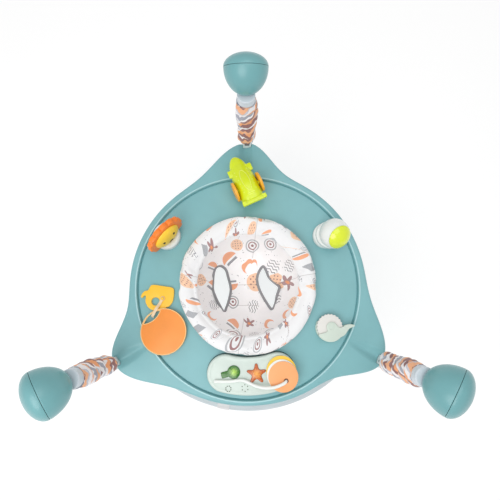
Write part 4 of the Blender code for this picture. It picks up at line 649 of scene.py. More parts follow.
def pouch_point(r, a):
    """A point of the bowl at plan radius r and angle a: with q = r / rim, z falls from the rim by the depth
    times (1 - q^4.2)^0.66. Folds run down from the rim as cosines of the angle, strongest halfway, the
    middle strip is 10 mm higher, the thighs' hollows 6 mm lower, and four creases follow the seams."""
    q = np.clip(r / POUCH_RIM, 0, 1)
    depth = (1 - q ** 4.2) ** 0.66
    folds = 0.0042 * np.cos(5 * a + 1.1) + 0.0030 * np.cos(9 * a + 0.4) + 0.0016 * np.cos(14 * a - 0.9)
    for seam in SEAT_SEAMS:
        away = np.abs(np.angle(np.exp(1j * (a - np.radians(seam)))))
        folds = folds - 0.0070 * np.exp(-away / 0.05) + 0.0035 * np.exp(-((away - 0.16) / 0.08) ** 2)
    weight = np.sin(np.pi * np.clip((q - 0.30) / 0.70, 0, 1)) ** 1.5
    x, y = (r + folds * weight) * np.cos(a), (r + folds * weight) * np.sin(a)
    z = POUCH_TOP_Z + (POUCH_DEPTH_Z - POUCH_TOP_Z) * depth + 0.5 * folds * weight
    z = z + 0.010 * np.exp(-((x / 0.040) ** 2)) * (1 - q ** 2)
    z = z - 0.006 * np.exp(-(((np.abs(x) - 0.080) / 0.03) ** 2 + (y / 0.06) ** 2))
    return np.stack([x, y, z], -1)


def catmull_rom(a, b, c, d, t):
    """The point at share t from b to c on the Catmull-Rom curve, half of 2 b + (c - a) t
    + (2 a - 5 b + 4 c - d) t^2 + (3 b - a - 3 c + d) t^3."""
    return 0.5 * (2 * b + (c - a) * t + (2 * a - 5 * b + 4 * c - d) * t ** 2
        + (3 * b - a - 3 * c + d) * t ** 3)


def smooth_loop(corners, steps):
    """A closed Catmull-Rom curve through corner points."""
    p = np.array(corners, float)
    t = np.linspace(0, 1, steps, endpoint=False)[:, None]
    return np.concatenate([catmull_rom(p[i - 1], p[i], p[(i + 1) % len(p)], p[(i + 2) % len(p)], t)
        for i in range(len(p))])


LEG_HOLES = (
    [(-0.0890, 0.0698), (-0.0740, 0.0600), (-0.0665, 0.0363), (-0.0578, -0.0016), (-0.0620, -0.0332),
     (-0.0710, -0.0648), (-0.0785, -0.0780), (-0.0950, -0.0522), (-0.1070, -0.0269), (-0.1142, -0.0016),
     (-0.1118, 0.0363), (-0.1040, 0.0616)],
    [(0.0508, 0.0700), (0.0610, 0.0557), (0.0682, 0.0383), (0.0784, 0.0256), (0.0987, 0.0066),
     (0.1016, -0.0045), (0.0943, -0.0283), (0.0885, -0.0536), (0.0769, -0.0711), (0.0595, -0.0473),
     (0.0421, -0.0156), (0.0328, 0.0098), (0.0305, 0.0320), (0.0378, 0.0557)],
)


def inside_loop(points, loop):
    """Which points lie inside a closed outline: a ray from the point crosses it an odd number of times."""
    x, y = points[:, 0, None], points[:, 1, None]
    x1, y1 = loop[:, 0], loop[:, 1]
    x2, y2 = np.roll(x1, -1), np.roll(y1, -1)
    crosses = ((y1 > y) != (y2 > y)) & (x < (x2 - x1) * (y - y1) / np.where(y2 == y1, 1e-9, y2 - y1) + x1)
    return crosses.sum(1) % 2 == 1


def pouch_height(x, y):
    """The bowl's height over a point in plan."""
    return pouch_point(np.hypot(x, y), np.arctan2(y, x))[..., 2]


def seat_print(name, ground, thread):
    """Printed cotton on the flat UV, in metres. The cloth is split into cells of about 46 mm. A cell's
    chance picks its motif, turn and size: a five-petalled flower, a crescent, a bowl on a bar, two rings,
    waves, a hatched patch or a block of dots. Seams are darker dips along four spokes and across the middle
    strip, on Object coordinates."""
    made = woven(name, ground, thread, 0.0010, 0.88, 0.30)
    links, shader = made.node_tree.links, made.node_tree.nodes["Principled BSDF"]
    colour = shader.inputs["Base Color"].links[0].from_socket

    def sums(operation, *values):
        return figure(made, operation, *values)

    def both(first, second):
        return sums("MULTIPLY", first, second)

    def less(value, limit):
        return sums("LESS_THAN", value, limit)

    def more(value, limit):
        return sums("GREATER_THAN", value, limit)

    def off(value, middle):
        return sums("ABSOLUTE", sums("SUBTRACT", value, middle))

    def squares(first, second):
        return sums("ADD", both(first, first), both(second, second))

    def stripes(value, pitch):
        return sums("FRACT", sums("DIVIDE", value, pitch))

    flat = add_node(made, "ShaderNodeTexCoord").outputs["UV"]
    cells = add_node(made, "ShaderNodeTexVoronoi", Scale=1 / 0.046, Randomness=0.45)
    specks = add_node(made, "ShaderNodeTexVoronoi", Scale=1 / 0.011)
    cells.voronoi_dimensions = specks.voronoi_dimensions = "2D"
    patches = add_node(made, "ShaderNodeTexNoise", Scale=26.0)
    patches.noise_dimensions = "2D"
    for texture in (cells, specks, patches):
        links.new(flat, texture.inputs["Vector"])
    chance = add_node(made, "ShaderNodeSeparateColor")
    links.new(cells.outputs["Color"], chance.inputs["Color"])
    away = add_node(made, "ShaderNodeVectorMath")
    away.operation = "SUBTRACT"
    links.new(flat, away.inputs[0])
    links.new(cells.outputs["Position"], away.inputs[1])
    sized = add_node(made, "ShaderNodeVectorMath")
    sized.operation = "SCALE"
    links.new(away.outputs[0], sized.inputs[0])
    links.new(sums("MULTIPLY_ADD", chance.outputs["Blue"], -0.42, 1.14), sized.inputs["Scale"])
    turned = add_node(made, "ShaderNodeVectorRotate")
    turned.rotation_type = "Z_AXIS"
    links.new(sized.outputs[0], turned.inputs["Vector"])
    links.new(both(chance.outputs["Green"], 2 * math.pi), turned.inputs["Angle"])
    apart = add_node(made, "ShaderNodeSeparateXYZ")
    links.new(turned.outputs[0], apart.inputs[0])
    x, y = apart.outputs["X"], apart.outputs["Y"]
    r = sums("SQRT", squares(x, y))
    kind = sums("FLOOR", both(chance.outputs["Red"], 6.999))

    petals = sums("COSINE", both(sums("ARCTAN2", y, x), 5.0))
    petal_edge = sums("MULTIPLY_ADD", petals, 0.0042, 0.0102)
    bite = sums("SQRT", squares(sums("SUBTRACT", x, 0.0062), y))
    rings = sums("MAXIMUM", less(off(r, 0.0128), 0.0013),
        sums("MAXIMUM", less(off(r, 0.0077), 0.0012), less(r, 0.0028)))
    wave = sums("MULTIPLY_ADD", sums("SINE", both(x, 520.0)), 0.0016, y)
    waves = less(off(stripes(wave, 0.0058), 0.5), 0.16)
    square = less(sums("MAXIMUM", off(x, 0.0), off(y, 0.0)), 0.0118)
    hatch = less(stripes(sums("ADD", x, y), 0.0027), 0.30)
    dots = less(squares(*(sums("SUBTRACT", stripes(value, 0.0062), 0.5) for value in (x, y))), 0.045)
    sprinkle = both(both(less(specks.outputs["Distance"], 0.085), more(patches.outputs["Fac"], 0.56)),
        more(r, 0.0165))
    peach, pale_peach, mauve = tint(243, 160, 108), tint(248, 200, 162), tint(158, 112, 112)
    ash, slate = tint(176, 178, 182), tint(138, 140, 146)
    prints = (
        (0, less(r, petal_edge), mauve), (0, less(r, 0.0036), peach),
        (1, both(less(r, 0.0142), more(bite, 0.0114)), peach),
        (2, both(less(r, 0.0138), more(y, 0.0012)), peach),
        (2, both(less(off(y, -0.0042), 0.0020), less(off(x, 0.0), 0.0105)), slate),
        (3, rings, ash), (3, both(rings, less(r, 0.0100)), mauve),
        (4, both(waves, less(r, 0.0136)), slate),
        (5, square, ash), (5, both(square, hatch), slate),
        (6, less(r, 0.0150), pale_peach), (6, both(dots, less(r, 0.0112)), mauve),
    )
    for number, shape, ink in prints:
        where = both(shape, sums("COMPARE", kind, float(number), 0.5))
        colour = mixed(made, both(where, 0.88), colour, ink)
    colour = mixed(made, both(sprinkle, 0.88), colour, slate)

    centred = add_node(made, "ShaderNodeMapping", Location=(0.0, -AXIS_Y, 0.0))
    links.new(add_node(made, "ShaderNodeTexCoord").outputs["Object"], centred.inputs["Vector"])
    parts = add_node(made, "ShaderNodeSeparateXYZ")
    links.new(centred.outputs[0], parts.inputs[0])
    near_strip = less(off(parts.outputs["X"], -0.008), 0.040)
    lines = [both(less(off(parts.outputs["Y"], at), 0.0010), near_strip) for at in (0.010, -0.058)]
    for degrees in SEAT_SEAMS:
        spoke = add_node(made, "ShaderNodeVectorRotate", Angle=math.radians(degrees))
        spoke.rotation_type, spoke.invert = "Z_AXIS", True
        links.new(centred.outputs[0], spoke.inputs["Vector"])
        parts = add_node(made, "ShaderNodeSeparateXYZ")
        links.new(spoke.outputs[0], parts.inputs[0])
        lines.append(both(less(off(parts.outputs["Y"], 0.0), 0.0009), more(parts.outputs["X"], 0.098)))
    seams = lines[0]
    for line in lines[1:]:
        seams = sums("MAXIMUM", seams, line)
    darker = mixed(made, both(seams, 0.45), colour, tint(150, 142, 138))
    links.new(darker, shader.inputs["Base Color"])
    return made


rows, sides = 80, 320
r = POUCH_RIM * np.linspace(1, 0.004, rows)[:, None] ** 0.75
a = np.linspace(0, 2 * np.pi, sides, endpoint=False)[None, :]
bowl = pouch_point(r + 0 * a, a + 0 * r)
fall = np.diff(bowl.mean(1)[:, 2])
step = np.hypot(np.diff(r[:, 0]), 0.45 * fall)
flat_r = POUCH_FLAT_RIM * (1 - np.concatenate([[0], np.cumsum(step)]) / step.sum())
points = bowl.reshape(-1, 3)
i, j = np.meshgrid(np.arange(rows - 1), np.arange(sides), indexing="ij")
quads = np.stack([i * sides + j, (i + 1) * sides + j, (i + 1) * sides + (j + 1) % sides,
    i * sides + (j + 1) % sides], -1).reshape(-1, 4)
loops = [smooth_loop(corners, 18) for corners in LEG_HOLES]
holed = np.zeros(len(points), bool)
for loop in loops:
    holed |= inside_loop(points[:, :2], loop)
kept = quads[~holed[quads].all(1)]
for loop in loops:
    hit = holed & inside_loop(points[:, :2], loop)
    used = np.unique(kept[holed[kept].any(1)])
    for v in used[hit[used]]:
        near = loop[np.argmin(((loop - points[v, :2]) ** 2).sum(1))]
        points[v] = (near[0], near[1], pouch_height(near[0], near[1]))
used = np.unique(kept)
renumber = np.full(len(points), -1)
renumber[used] = np.arange(len(used))
pouch_mesh = bpy.data.meshes.new("pouch_cloth")
pouch_mesh.from_pydata((points[used] + np.array([0, AXIS_Y, 0])).tolist(), [],
    renumber[kept][:, ::-1].tolist())
flat = np.stack([flat_r[:, None] * np.cos(a), flat_r[:, None] * np.sin(a)], -1).reshape(-1, 2)
pouch_mesh.uv_layers.new(name="UVMap").data.foreach_set("uv",
    flat[used][renumber[kept][:, ::-1].ravel()].astype(np.float32).ravel())
pouch_mesh.shade_smooth()
pouch = bpy.data.objects.new("pouch_cloth", pouch_mesh)
bpy.context.scene.collection.objects.link(pouch)
wall = pouch.modifiers.new("thickness", "SOLIDIFY")
wall.thickness, wall.offset = 0.0022, -1.0
# The pouch's copy of the print has a whiter ground than the roll's: painted light against the shade in the
# bowl.
printed = seat_print("printed_cotton", tint(254, 254, 255), tint(248, 248, 249))
dress(pouch, printed, "seat", "seat_fabric", "seat_pouch")
binding_tape = woven("binding_tape", tint(142, 143, 146), tint(168, 169, 172), 0.0010, 0.9, 0.4)
for name, loop in zip(("left", "right"), loops):
    path = np.column_stack([loop, pouch_height(loop[:, 0], loop[:, 1]) + 0.0004])
    binding = shell(f"leg_binding_{name}", looped(path + (0, AXIS_Y, 0), 0.0044, 16, 0.7), along=True)
    dress(binding, binding_tape, "seat", "seat_fabric")

# Seat roll: the padded rim of the seat, foam under the same printed cotton, its ground painted darker than
# the pouch's where more light falls on it. It is high and round at the outside, thins to a lip towards the
# bowl, and is drawn in where its four panels are sewn.
ROLL_RADIUS, ROLL_SIDES, ROLL_STEPS = 0.171, 256, 48
a = np.linspace(0, 2 * np.pi, ROLL_SIDES, endpoint=False)[:, None]
t = np.linspace(0, 2 * np.pi, ROLL_STEPS, endpoint=False)[None, :] - np.pi / 2
pull = sum(depth * np.exp(-((np.degrees(a) - middle) / spread) ** 2)
    for depth, middle, spread in ((0.009, 213, 20), (0.007, 338, 16)))
wide = np.sign(np.cos(t)) * np.abs(np.cos(t)) ** 0.85
tall = np.sign(np.sin(t)) * np.abs(np.sin(t)) ** 0.85
inner = np.clip(-wide, 0, 1)
dent = sum(np.exp(-(np.angle(np.exp(1j * (a - math.radians(seam)))) / 0.020) ** 2) for seam in SEAT_SEAMS)
reach = np.where(wide > 0, 0.0218, 0.0288) * wide
radius = ROLL_RADIUS + reach - pull * np.clip(wide + tall, 0, 2) / 2 - 0.0012 * dent * np.clip(wide, 0, 1)
height = 0.4712 + (0.0153 - 0.0020 * dent) * tall * (1 - 0.60 * inner ** 1.5) - 0.0050 * inner ** 2
outline = np.stack([radius * np.cos(a), radius * np.sin(a) + AXIS_Y, height + 0 * a], -1)
roll = shell("seat_roll", outline, along=True, crease=80)
section = np.stack([reach, 0.0153 * tall * (1 - 0.60 * inner ** 1.5) - 0.0050 * inner ** 2], -1)[0]
step = np.linalg.norm(np.diff(np.vstack([section, section[:1]]), axis=0), axis=1)
along_section = np.concatenate([[0], np.cumsum(step)])
out_flat = ROLL_RADIUS + (along_section[ROLL_STEPS // 2] - along_section)
flat_uv = np.stack([out_flat * np.cos(a), out_flat * np.sin(a)], -1).reshape(-1, 2)
corner = np.empty(len(roll.data.loops), np.int64)
roll.data.loops.foreach_get("vertex_index", corner)
roll.data.uv_layers["UVMap"].data.foreach_set("uv", flat_uv[corner].astype(np.float32).ravel())
# The roll's copy of the print has a greyer ground than the pouch's: painted shade against the light on the
# roll.
dress(roll, seat_print("printed_cotton_roll_painted_darker", tint(238, 238, 239), tint(228, 228, 229)), "seat",
    "seat_fabric", "seat_pad")
# The foam swells against its cover: the lip, the underside and the four seams are held, and the
# rest is blown out by the cloth solver, by 3.5 mm at most.
held = np.maximum(np.clip(dent * 1.6, 0, 1) + 0 * t,
    np.maximum(inner > 0.80, tall < -0.45) + 0 * a).ravel()
sewn = roll.vertex_groups.new(name="sewn")
for index in np.flatnonzero(held > 0.02).tolist():
    sewn.add([index], float(held[index]), "ADD")
swell = roll.modifiers.new("swell", "CLOTH")
swell.settings.use_pressure, swell.settings.uniform_pressure_force = True, 4.0
swell.settings.vertex_group_mass, swell.settings.shrink_min = "sewn", -0.05
swell.settings.effector_weights.gravity = 0.0
swell.point_cache.frame_start, swell.point_cache.frame_end = 1, 20
for number in range(1, 21):
    bpy.context.scene.frame_set(number)
blown = roll.evaluated_get(bpy.context.evaluated_depsgraph_get()).to_mesh()
before, after = np.empty(len(roll.data.vertices) * 3), np.empty(len(roll.data.vertices) * 3)
roll.data.vertices.foreach_get("co", before)
blown.vertices.foreach_get("co", after)
before, moved = before.reshape(-1, 3), (after - before).reshape(-1, 3)
moved *= np.minimum(1, 0.0035 / np.maximum(np.linalg.norm(moved, axis=1), 1e-9))[:, None]
roll.modifiers.remove(swell)
roll.data.vertices.foreach_set("co", (before + moved).ravel())
roll.data.update()
bpy.context.scene.frame_set(1)
smooth = roll.modifiers.new("smooth", "SUBSURF")
smooth.levels = smooth.render_levels = 1

# Racer: a glossy lime hull moulded as one piece with its tail bar and side tabs, with two rows of
# small bumps and a raised line on top. It rocks on a pin between the cheeks of a white base.
RACER_PLACE = (0.295, 91.3, 114.5)
RACER_LENGTH, RACER_WIDTH, RACER_HEIGHT, RACER_LIFT = 0.150, 0.067, 0.034, 0.030


def placed(points, radius, degrees, heading):
    """Points of a toy made in its own frame: turned by its heading h, x' = x cos h - y sin h and
    y' = x sin h + y cos h, then set on the tray at a radius and an angle round the seat."""
    points = np.asarray(points, float)
    h, a = math.radians(heading), math.radians(degrees)
    x, y, z = points[..., 0], points[..., 1], points[..., 2]
    return np.stack([x * math.cos(h) - y * math.sin(h) + radius * math.cos(a),
        x * math.sin(h) + y * math.cos(h) + radius * math.sin(a) + AXIS_Y, z + TRAY_TOP], -1)


def circle(radius, sides, x=0.0, y=0.0):
    """Points of a closed circle in plan, round x, y."""
    a = np.linspace(0, 2 * np.pi, sides, endpoint=False)
    return np.column_stack([x + radius * np.cos(a), y + radius * np.sin(a)])


def turned_flat(points, a):
    """Plan points turned by an angle: x' = x cos a - y sin a, y' = x sin a + y cos a."""
    return np.asarray(points) @ np.array([[math.cos(a), math.sin(a)], [-math.sin(a), math.cos(a)]])


def plate(name, outlines, low, high, place, ease):
    """A solid whose plan is the first closed outline less the others. Its edges are quarter rounds of
    radius ease: at angle a the outline is drawn in by ease (1 - sin a). place holds the radius, angle and
    heading at which placed sets its points."""
    build = bmesh.new()
    top, bottom = [], []
    for number, outline in enumerate(outlines):
        outline = np.asarray(outline, float)
        onward = np.roll(outline, -1, 0)
        edge = onward - outline
        area = np.sum(outline[:, 0] * onward[:, 1] - onward[:, 0] * outline[:, 1])
        out = np.stack([edge[:, 1], -edge[:, 0]], -1) * math.copysign(1.0, area)
        out /= (np.linalg.norm(out, axis=1)[:, None] + 1e-12) * (1 if number == 0 else -1)
        normal = out + np.roll(out, 1, 0)
        normal /= np.linalg.norm(normal, axis=1)[:, None] + 1e-12
        turn = np.linspace(0, np.pi / 2, 5)
        levels = [(ease * (1 - math.sin(a)), low + ease * (1 - math.cos(a))) for a in turn]
        levels += [(inset, low + high - z) for inset, z in levels[::-1]]
        rings = []
        for inset, z in levels:
            flat = outline - normal * inset
            solid = placed(np.column_stack([flat, np.full(len(flat), z)]), *place)
            rings.append([build.verts.new(p) for p in solid.tolist()])
        for below, above in zip(rings, rings[1:]):
            for i in range(len(below)):
                j = (i + 1) % len(below)
                build.faces.new((below[i], below[j], above[j], above[i]))
        for ring, edges in ((rings[0], bottom), (rings[-1], top)):
            edges += [build.edges.get((ring[i], ring[(i + 1) % len(ring)])) for i in range(len(ring))]
    for edges in (bottom, top):
        bmesh.ops.triangle_fill(build, edges=edges, use_beauty=True, use_dissolve=False)
    bmesh.ops.recalc_face_normals(build, faces=build.faces)
    mesh = bpy.data.meshes.new(name)
    build.to_mesh(mesh)
    build.free()
    mesh.shade_smooth()
    mesh.set_sharp_from_angle(angle=math.radians(42))
    made = bpy.data.objects.new(name, mesh)
    bpy.context.scene.collection.objects.link(made)
    return made


def bar(name, size, centre, ease):
    """A block of the racer with rounded upright and level edges."""
    x, y, z = (v / 2 for v in size)
    corner = min(x, y, 2 * ease)
    a = np.linspace(0, np.pi / 2, 5)
    arc = np.column_stack([np.cos(a), np.sin(a)]) * corner
    middles = [(x - corner, y - corner), (corner - x, y - corner), (corner - x, corner - y),
        (x - corner, corner - y)]
    flat = np.concatenate([turned_flat(arc, k * math.pi / 2) + middle for k, middle in enumerate(middles)])
    return plate(name, [flat + centre[:2]], centre[2] - z, centre[2] + z, RACER_PLACE, ease)


def hull_ring(share):
    """One section across the hull, share 0 at the tail and 1 at the nose: its half width and height shrink
    by sqrt(1 - s^2.2) towards the nose, and its bottom is flat."""
    x = RACER_LENGTH * (share - 0.45)
    taper = math.sqrt(max(0.0, 1 - max(0.0, (share - 0.35) / 0.65) ** 2.2))
    half = RACER_WIDTH / 2 * max(0.02, taper)
    high = RACER_HEIGHT * (0.55 + 0.45 * math.sin(math.pi * min(1.0, 0.2 + share))) * max(0.04, taper)
    a = np.linspace(0, np.pi, 52)
    y = half * np.sign(np.cos(a)) * np.abs(np.cos(a)) ** 0.75
    z = RACER_LIFT + high * np.sin(a) ** 0.9
    groove = 0.0011 * math.sin(math.pi * np.clip((share - 0.16) / 0.64, 0, 1)) ** 0.4
    z = z - groove * np.exp(-((np.abs(y) - 0.013) / 0.0016) ** 2) * (0.16 < share < 0.80)
    under = np.linspace(-1, 1, 22)[1:-1]
    return np.column_stack([np.full(72, x), np.concatenate([y, half * under]),
        np.concatenate([z, np.full(20, RACER_LIFT)])])


lime_plastic = moulded("lime_plastic", tint(214, 232, 20), 0.24, 0.05, 0.03, 1200.0, 0.4)
# A lighter copy of the lime for the bumps, raised lines and cockpit rim: a painted highlight along ridges
# moulded in the hull's own plastic.
lime_painted_highlight = moulded("lime_painted_highlight", tint(232, 244, 96), 0.24, 0.05, 0.03, 1200.0, 0.4)
wheel_plastic = moulded("wheel_plastic", tint(252, 178, 44), 0.32, 0.05, 0.05, 1200.0, 0.2)
shares = np.concatenate([np.linspace(0, 0.85, 46), 0.85 + 0.15 * np.sin(np.linspace(0, np.pi / 2, 22))[1:]])
hull = shell("racer_hull", placed([hull_ring(s) for s in shares], *RACER_PLACE), crease=40.0)
dress(hull, lime_plastic, "racer", "lime_plastic", "racer_body")
TAIL_X = -0.45 * RACER_LENGTH
for name, size, centre, ease in (
    ("tail", (0.012, 0.073, 0.012), (TAIL_X, 0, RACER_LIFT + 0.024), 0.0015),
    ("tail_end_right", (0.0125, 0.0115, 0.0022), (TAIL_X, -0.0300, RACER_LIFT + 0.0308), 0.0008),
    ("tail_end_left", (0.0125, 0.0115, 0.0022), (TAIL_X, 0.0300, RACER_LIFT + 0.0308), 0.0008),
    ("tabs", (0.022, 0.073, 0.007), (0.033, 0, RACER_LIFT + 0.012), 0.0012),
    ("lug", (0.020, 0.0124, 0.018), (0, 0, 0.0225), 0.0008),
):
    dress(bar(f"racer_{name}", size, centre, ease), lime_plastic, "racer", "lime_plastic")


def hull_top(x, y):
    """The hull's height over a point of its own plan, from the same section formula."""
    ring = hull_ring(x / RACER_LENGTH + 0.45)[:52]
    return float(np.interp(y, ring[::-1, 1], ring[::-1, 2]))


for row, side in enumerate((-1, 1)):
    for number, x in enumerate(np.linspace(-0.036, 0.030, 6)):
        y = side * (0.0185 - 0.00005 * number)
        dot = [(0.0016 * math.sin(s), 0.0009 * math.cos(s)) for s in np.linspace(0, np.pi / 2, 6)]
        rings = lathed(dot + [(0.0016, -0.0012)], 16) + np.array([x, y, hull_top(x, y)])
        bump = shell(f"racer_bump_{row + 1}_{number + 1}", placed(rings, *RACER_PLACE))
        dress(bump, lime_painted_highlight, "racer", "lime_plastic")
for number, (x, wide) in enumerate(((-0.044, 0.024), (-0.049, 0.016))):
    centre = (x, 0, hull_top(x, 0.006))
    line = bar(f"racer_raised_line_{number + 1}", (0.0018, wide, 0.0020), centre, 0.0004)
    dress(line, lime_painted_highlight, "racer", "lime_plastic")
oval = circle(1.0, 60) * (0.033, 0.0110) - (0.004, 0)
seat_rim = [(x, y, hull_top(x, y)) for x, y in oval]
cockpit = shell("racer_cockpit_rim", placed(looped(seat_rim, 0.0012, 12), *RACER_PLACE), along=True)
dress(cockpit, lime_painted_highlight, "racer", "lime_plastic")
axle = [(-0.020, y, RACER_LIFT + 0.010) for y in np.linspace(-0.0342, 0.0342, 5)]
axle_rod = shell("racer_axle", placed(swept(axle, 0.006, 24), *RACER_PLACE))
dress(axle_rod, lime_plastic, "racer", "lime_plastic")
for side, word in ((-1, "right"), (1, "left")):
    profile = [(0, 0), (0.0275, 0), (0.0287, 0.0005), (0.029, 0.0016), (0.029, 0.0054),
        (0.0285, 0.0066), (0.0270, 0.0070), (0.0215, 0.0070), (0.0205, 0.0060), (0.0095, 0.0055),
        (0.0080, 0.0066), (0, 0.0070)]
    rings = lathed(profile, 72)
    rings = np.stack([rings[..., 0] - 0.020, side * (rings[..., 2] + 0.0348),
        rings[..., 1] + RACER_LIFT + 0.010], -1)
    wheel = shell(f"wheel_{word}", placed(rings, *RACER_PLACE), ends=False)
    dress(wheel, wheel_plastic, "racer", "yellow_plastic", f"racer_wheel_{word}")
ease_edges(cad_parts["racer_base"], white_plastic)

# Lion: a thick orange mane with a scalloped edge and a domed yellow face with printed eyes and a
# nose, moulded in two pieces. It stands upright on a white round base and spins on it.
LION_PLACE = (across_tray(0.671), 149.0, -42.0)
MANE_RADIUS, MANE_RISE, LION_FLOOR = 0.058, 0.030, 0.0203
FACE_RADIUS, FACE_RISE, FACE_OUT, FACE_DEPTH = 0.041, 0.035, 0.015, 0.0145


def upright(across, up, out):
    """Points of the lion's upright head, 2 degrees back: across to its left, up from the base's top, out
    from the face's back plane."""
    t = math.radians(2.0)
    across, up, out = np.broadcast_arrays(across, up, out)
    return np.stack([FACE_OUT + out * math.cos(t) - up * math.sin(t), across,
        LION_FLOOR + up * math.cos(t) + out * math.sin(t)], -1)


mane_orange = moulded("mane_orange", tint(252, 134, 44), 0.36, 0.06, 0.06)
face_yellow = moulded("face_yellow", tint(255, 212, 58), 0.34, 0.05, 0.05)
print_black = moulded("print_black", tint(34, 26, 20), 0.5, 0.05, 0.05)
a = np.linspace(0, 2 * np.pi, 280, endpoint=False)
lift = 0.0050 * (np.abs(np.sin(7 * a)) ** 0.8 - 0.5)
grid = []
for share, out, swell in ((0.0, -0.0163, 0), (0.90, -0.0163, 0.2), (0.965, -0.0160, 0.6),
        (0.992, -0.0148, 1), (1.0, -0.0125, 1), (1.0, -0.0040, 1), (0.992, -0.0018, 1),
        (0.965, -0.0006, 0.6), (0.90, -0.0003, 0.2), (0.72, -0.0003, 0), (0.0, -0.0003, 0)):
    radius = MANE_RADIUS * share + lift * swell
    grid.append(upright(radius * np.sin(a), np.maximum(MANE_RISE + radius * np.cos(a), 0), out))
mane = shell("lion_mane_scalloped", placed(grid, *LION_PLACE), ends=False, crease=50.0)
dress(mane, mane_orange, "lion", "orange_plastic", "lion_mane")


def face_out(r):
    """How far the domed face stands out at a share r of its radius: a quarter of an ellipse, flattened
    towards the middle."""
    return FACE_DEPTH * (1 - np.clip(r, 0, 1) ** 2.3) ** 0.52


a = np.linspace(0, 2 * np.pi, 120, endpoint=False)
levels = [(0.0, 0.0), (0.985, 0.0)]
levels += [(s, 0.0004 + face_out(s)) for s in np.sin(np.linspace(0, np.pi / 2, 30))[::-1]]
grid = [upright(s * FACE_RADIUS * np.sin(a), np.maximum(FACE_RISE + s * FACE_RADIUS * np.cos(a), 0), out)
    for s, out in levels]
face = shell("lion_face_dome", placed(grid, *LION_PLACE), ends=False)
dress(face, face_yellow, "lion", "yellow_plastic", "lion_face")
for name, across, up, wide, tall in (("eye_left", -0.0185, 0.0105, 0.0036, 0.0052),
        ("eye_right", 0.0185, 0.0105, 0.0036, 0.0052), ("nose", 0.0, -0.0120, 0.0066, 0.0046)):
    s = np.array([0.0, 0.5, 0.85, 0.97, 1.0, 0.0])[:, None]
    lift = 0.0004 + 0.0007 * np.sqrt(1 - s ** 4)
    lift[-1] = -0.0004
    x, y = across + wide * s * np.cos(a[None, ::4]), up + tall * s * np.sin(a[None, ::4])
    out = face_out(np.hypot(x, y) / FACE_RADIUS) + lift
    mark = shell(f"lion_{name}", placed(upright(x, FACE_RISE + y, out), *LION_PLACE), ends=False)
    dress(mark, print_black, "lion", "yellow_plastic")
s = np.linspace(0, 1, 9)
for side in (-1, 1):
    x = side * (0.0004 + 0.0085 * s)
    y = -0.0160 - 0.0055 * np.sin(np.pi * s * 0.9)
    out = face_out(np.hypot(x, y) / FACE_RADIUS) + 0.0004
    line = shell(f"lion_mouth_{'left' if side < 0 else 'right'}",
        placed(swept(upright(x, FACE_RISE + y, out), 0.0006, 8), *LION_PLACE))
    dress(line, print_black, "lion", "yellow_plastic")


def drum(foot, corner, start=0.1, steps=12):
    """Rings of a round stand: its foot profile, then a quarter round of radius corner inwards from the
    foot's last point, from an angle start, and the flat top."""
    r, z = foot[-1]
    turn = np.linspace(start, np.pi / 2, steps)
    round_off = [(r - corner + corner * math.cos(t), z + corner * math.sin(t)) for t in turn]
    return lathed([*foot, *round_off, (0, z + corner)], 96)


rings = drum([(0, 0.0003), (0.0385, 0.0003), (0.0395, 0.0012), (0.0395, 0.0120)], 0.0080)
lion_stand = shell("lion_stand", placed(rings, *LION_PLACE), ends=False)
dress(lion_stand, white_plastic, "tray", "white_plastic", "lion_base")

# Dome: a white ball with a collar and a lime visor let into it, moulded in pieces. The ball sits to
# one side of its round base and turns on it.
DOME_PLACE = (across_tray(0.618), 31.6, -56.0)
BALL_RADIUS, BALL_AT, STAND_TOP = 0.042, (0.0115, 0.0118, 0.0523), 0.0183
dome_white = moulded("dome_white", tint(236, 240, 237), 0.26, 0.04, 0.04, 1200.0, 0.3)
visor_lime = moulded("visor_lime", tint(226, 240, 44), 0.16, 0.04, 0.02, 1200.0, 0.6)
rings = drum([(0, 0.0003), (0.0360, 0.0003), (0.0370, 0.0012), (0.0370, 0.0110)], 0.0070)
dress(shell("dome_stand", placed(rings, *DOME_PLACE), ends=False), dome_white, "tray", "white_plastic",
    "dome_base")
foot = [(0, STAND_TOP), (0.0375, STAND_TOP), (0.0393, 0.0196), (0.0395, 0.0215), (0.0395, 0.0315)]
rings = drum(foot, 0.0045, 0.15, 8) + np.array([BALL_AT[0] / 2, BALL_AT[1] / 2, 0])
dress(shell("dome_collar", placed(rings, *DOME_PLACE), ends=False), dome_white, "dome", "white_plastic")


def ball_rings(degrees, proud):
    """Rings of the ball at angles from its visor's axis, each proud of it by some metres: r = R sin t,
    z = R cos t. The axis leans 43 degrees."""
    t, radius = np.radians(degrees), BALL_RADIUS + np.array(proud)
    lean = Euler((0, math.radians(43.0), 0)).to_matrix()
    return lathed(np.column_stack([radius * np.sin(t), radius * np.cos(t)]), 120, lean) + np.array(BALL_AT)


t = np.concatenate([[0], np.linspace(10, 50, 10), np.linspace(51, 58, 22), np.linspace(61, 142, 26)])
lip = 0.0016 * np.exp(-((t - 54.4) / 0.55) ** 2) - 0.0005 * np.exp(-((t - 56.4) / 0.9) ** 2)
rings = ball_rings(t, -lip - 0.0020 * (t < 54.0))
rings[..., 2] = np.maximum(rings[..., 2], STAND_TOP)
dress(shell("dome_ball", placed(rings, *DOME_PLACE)), dome_white, "dome", "white_plastic", "dome_head")
levels = [(t, 0.0010) for t in np.linspace(0, 52.6, 28)] + [(53.3, 0.0007), (53.7, 0.0), (53.8, -0.0015)]
levels += [(t, -0.0016) for t in np.linspace(52, 0, 16)]
rings = ball_rings(*zip(*levels))
dress(shell("visor_shell", placed(rings, *DOME_PLACE), ends=False), visor_lime, "dome", "lime_plastic",
    "dome_visor")

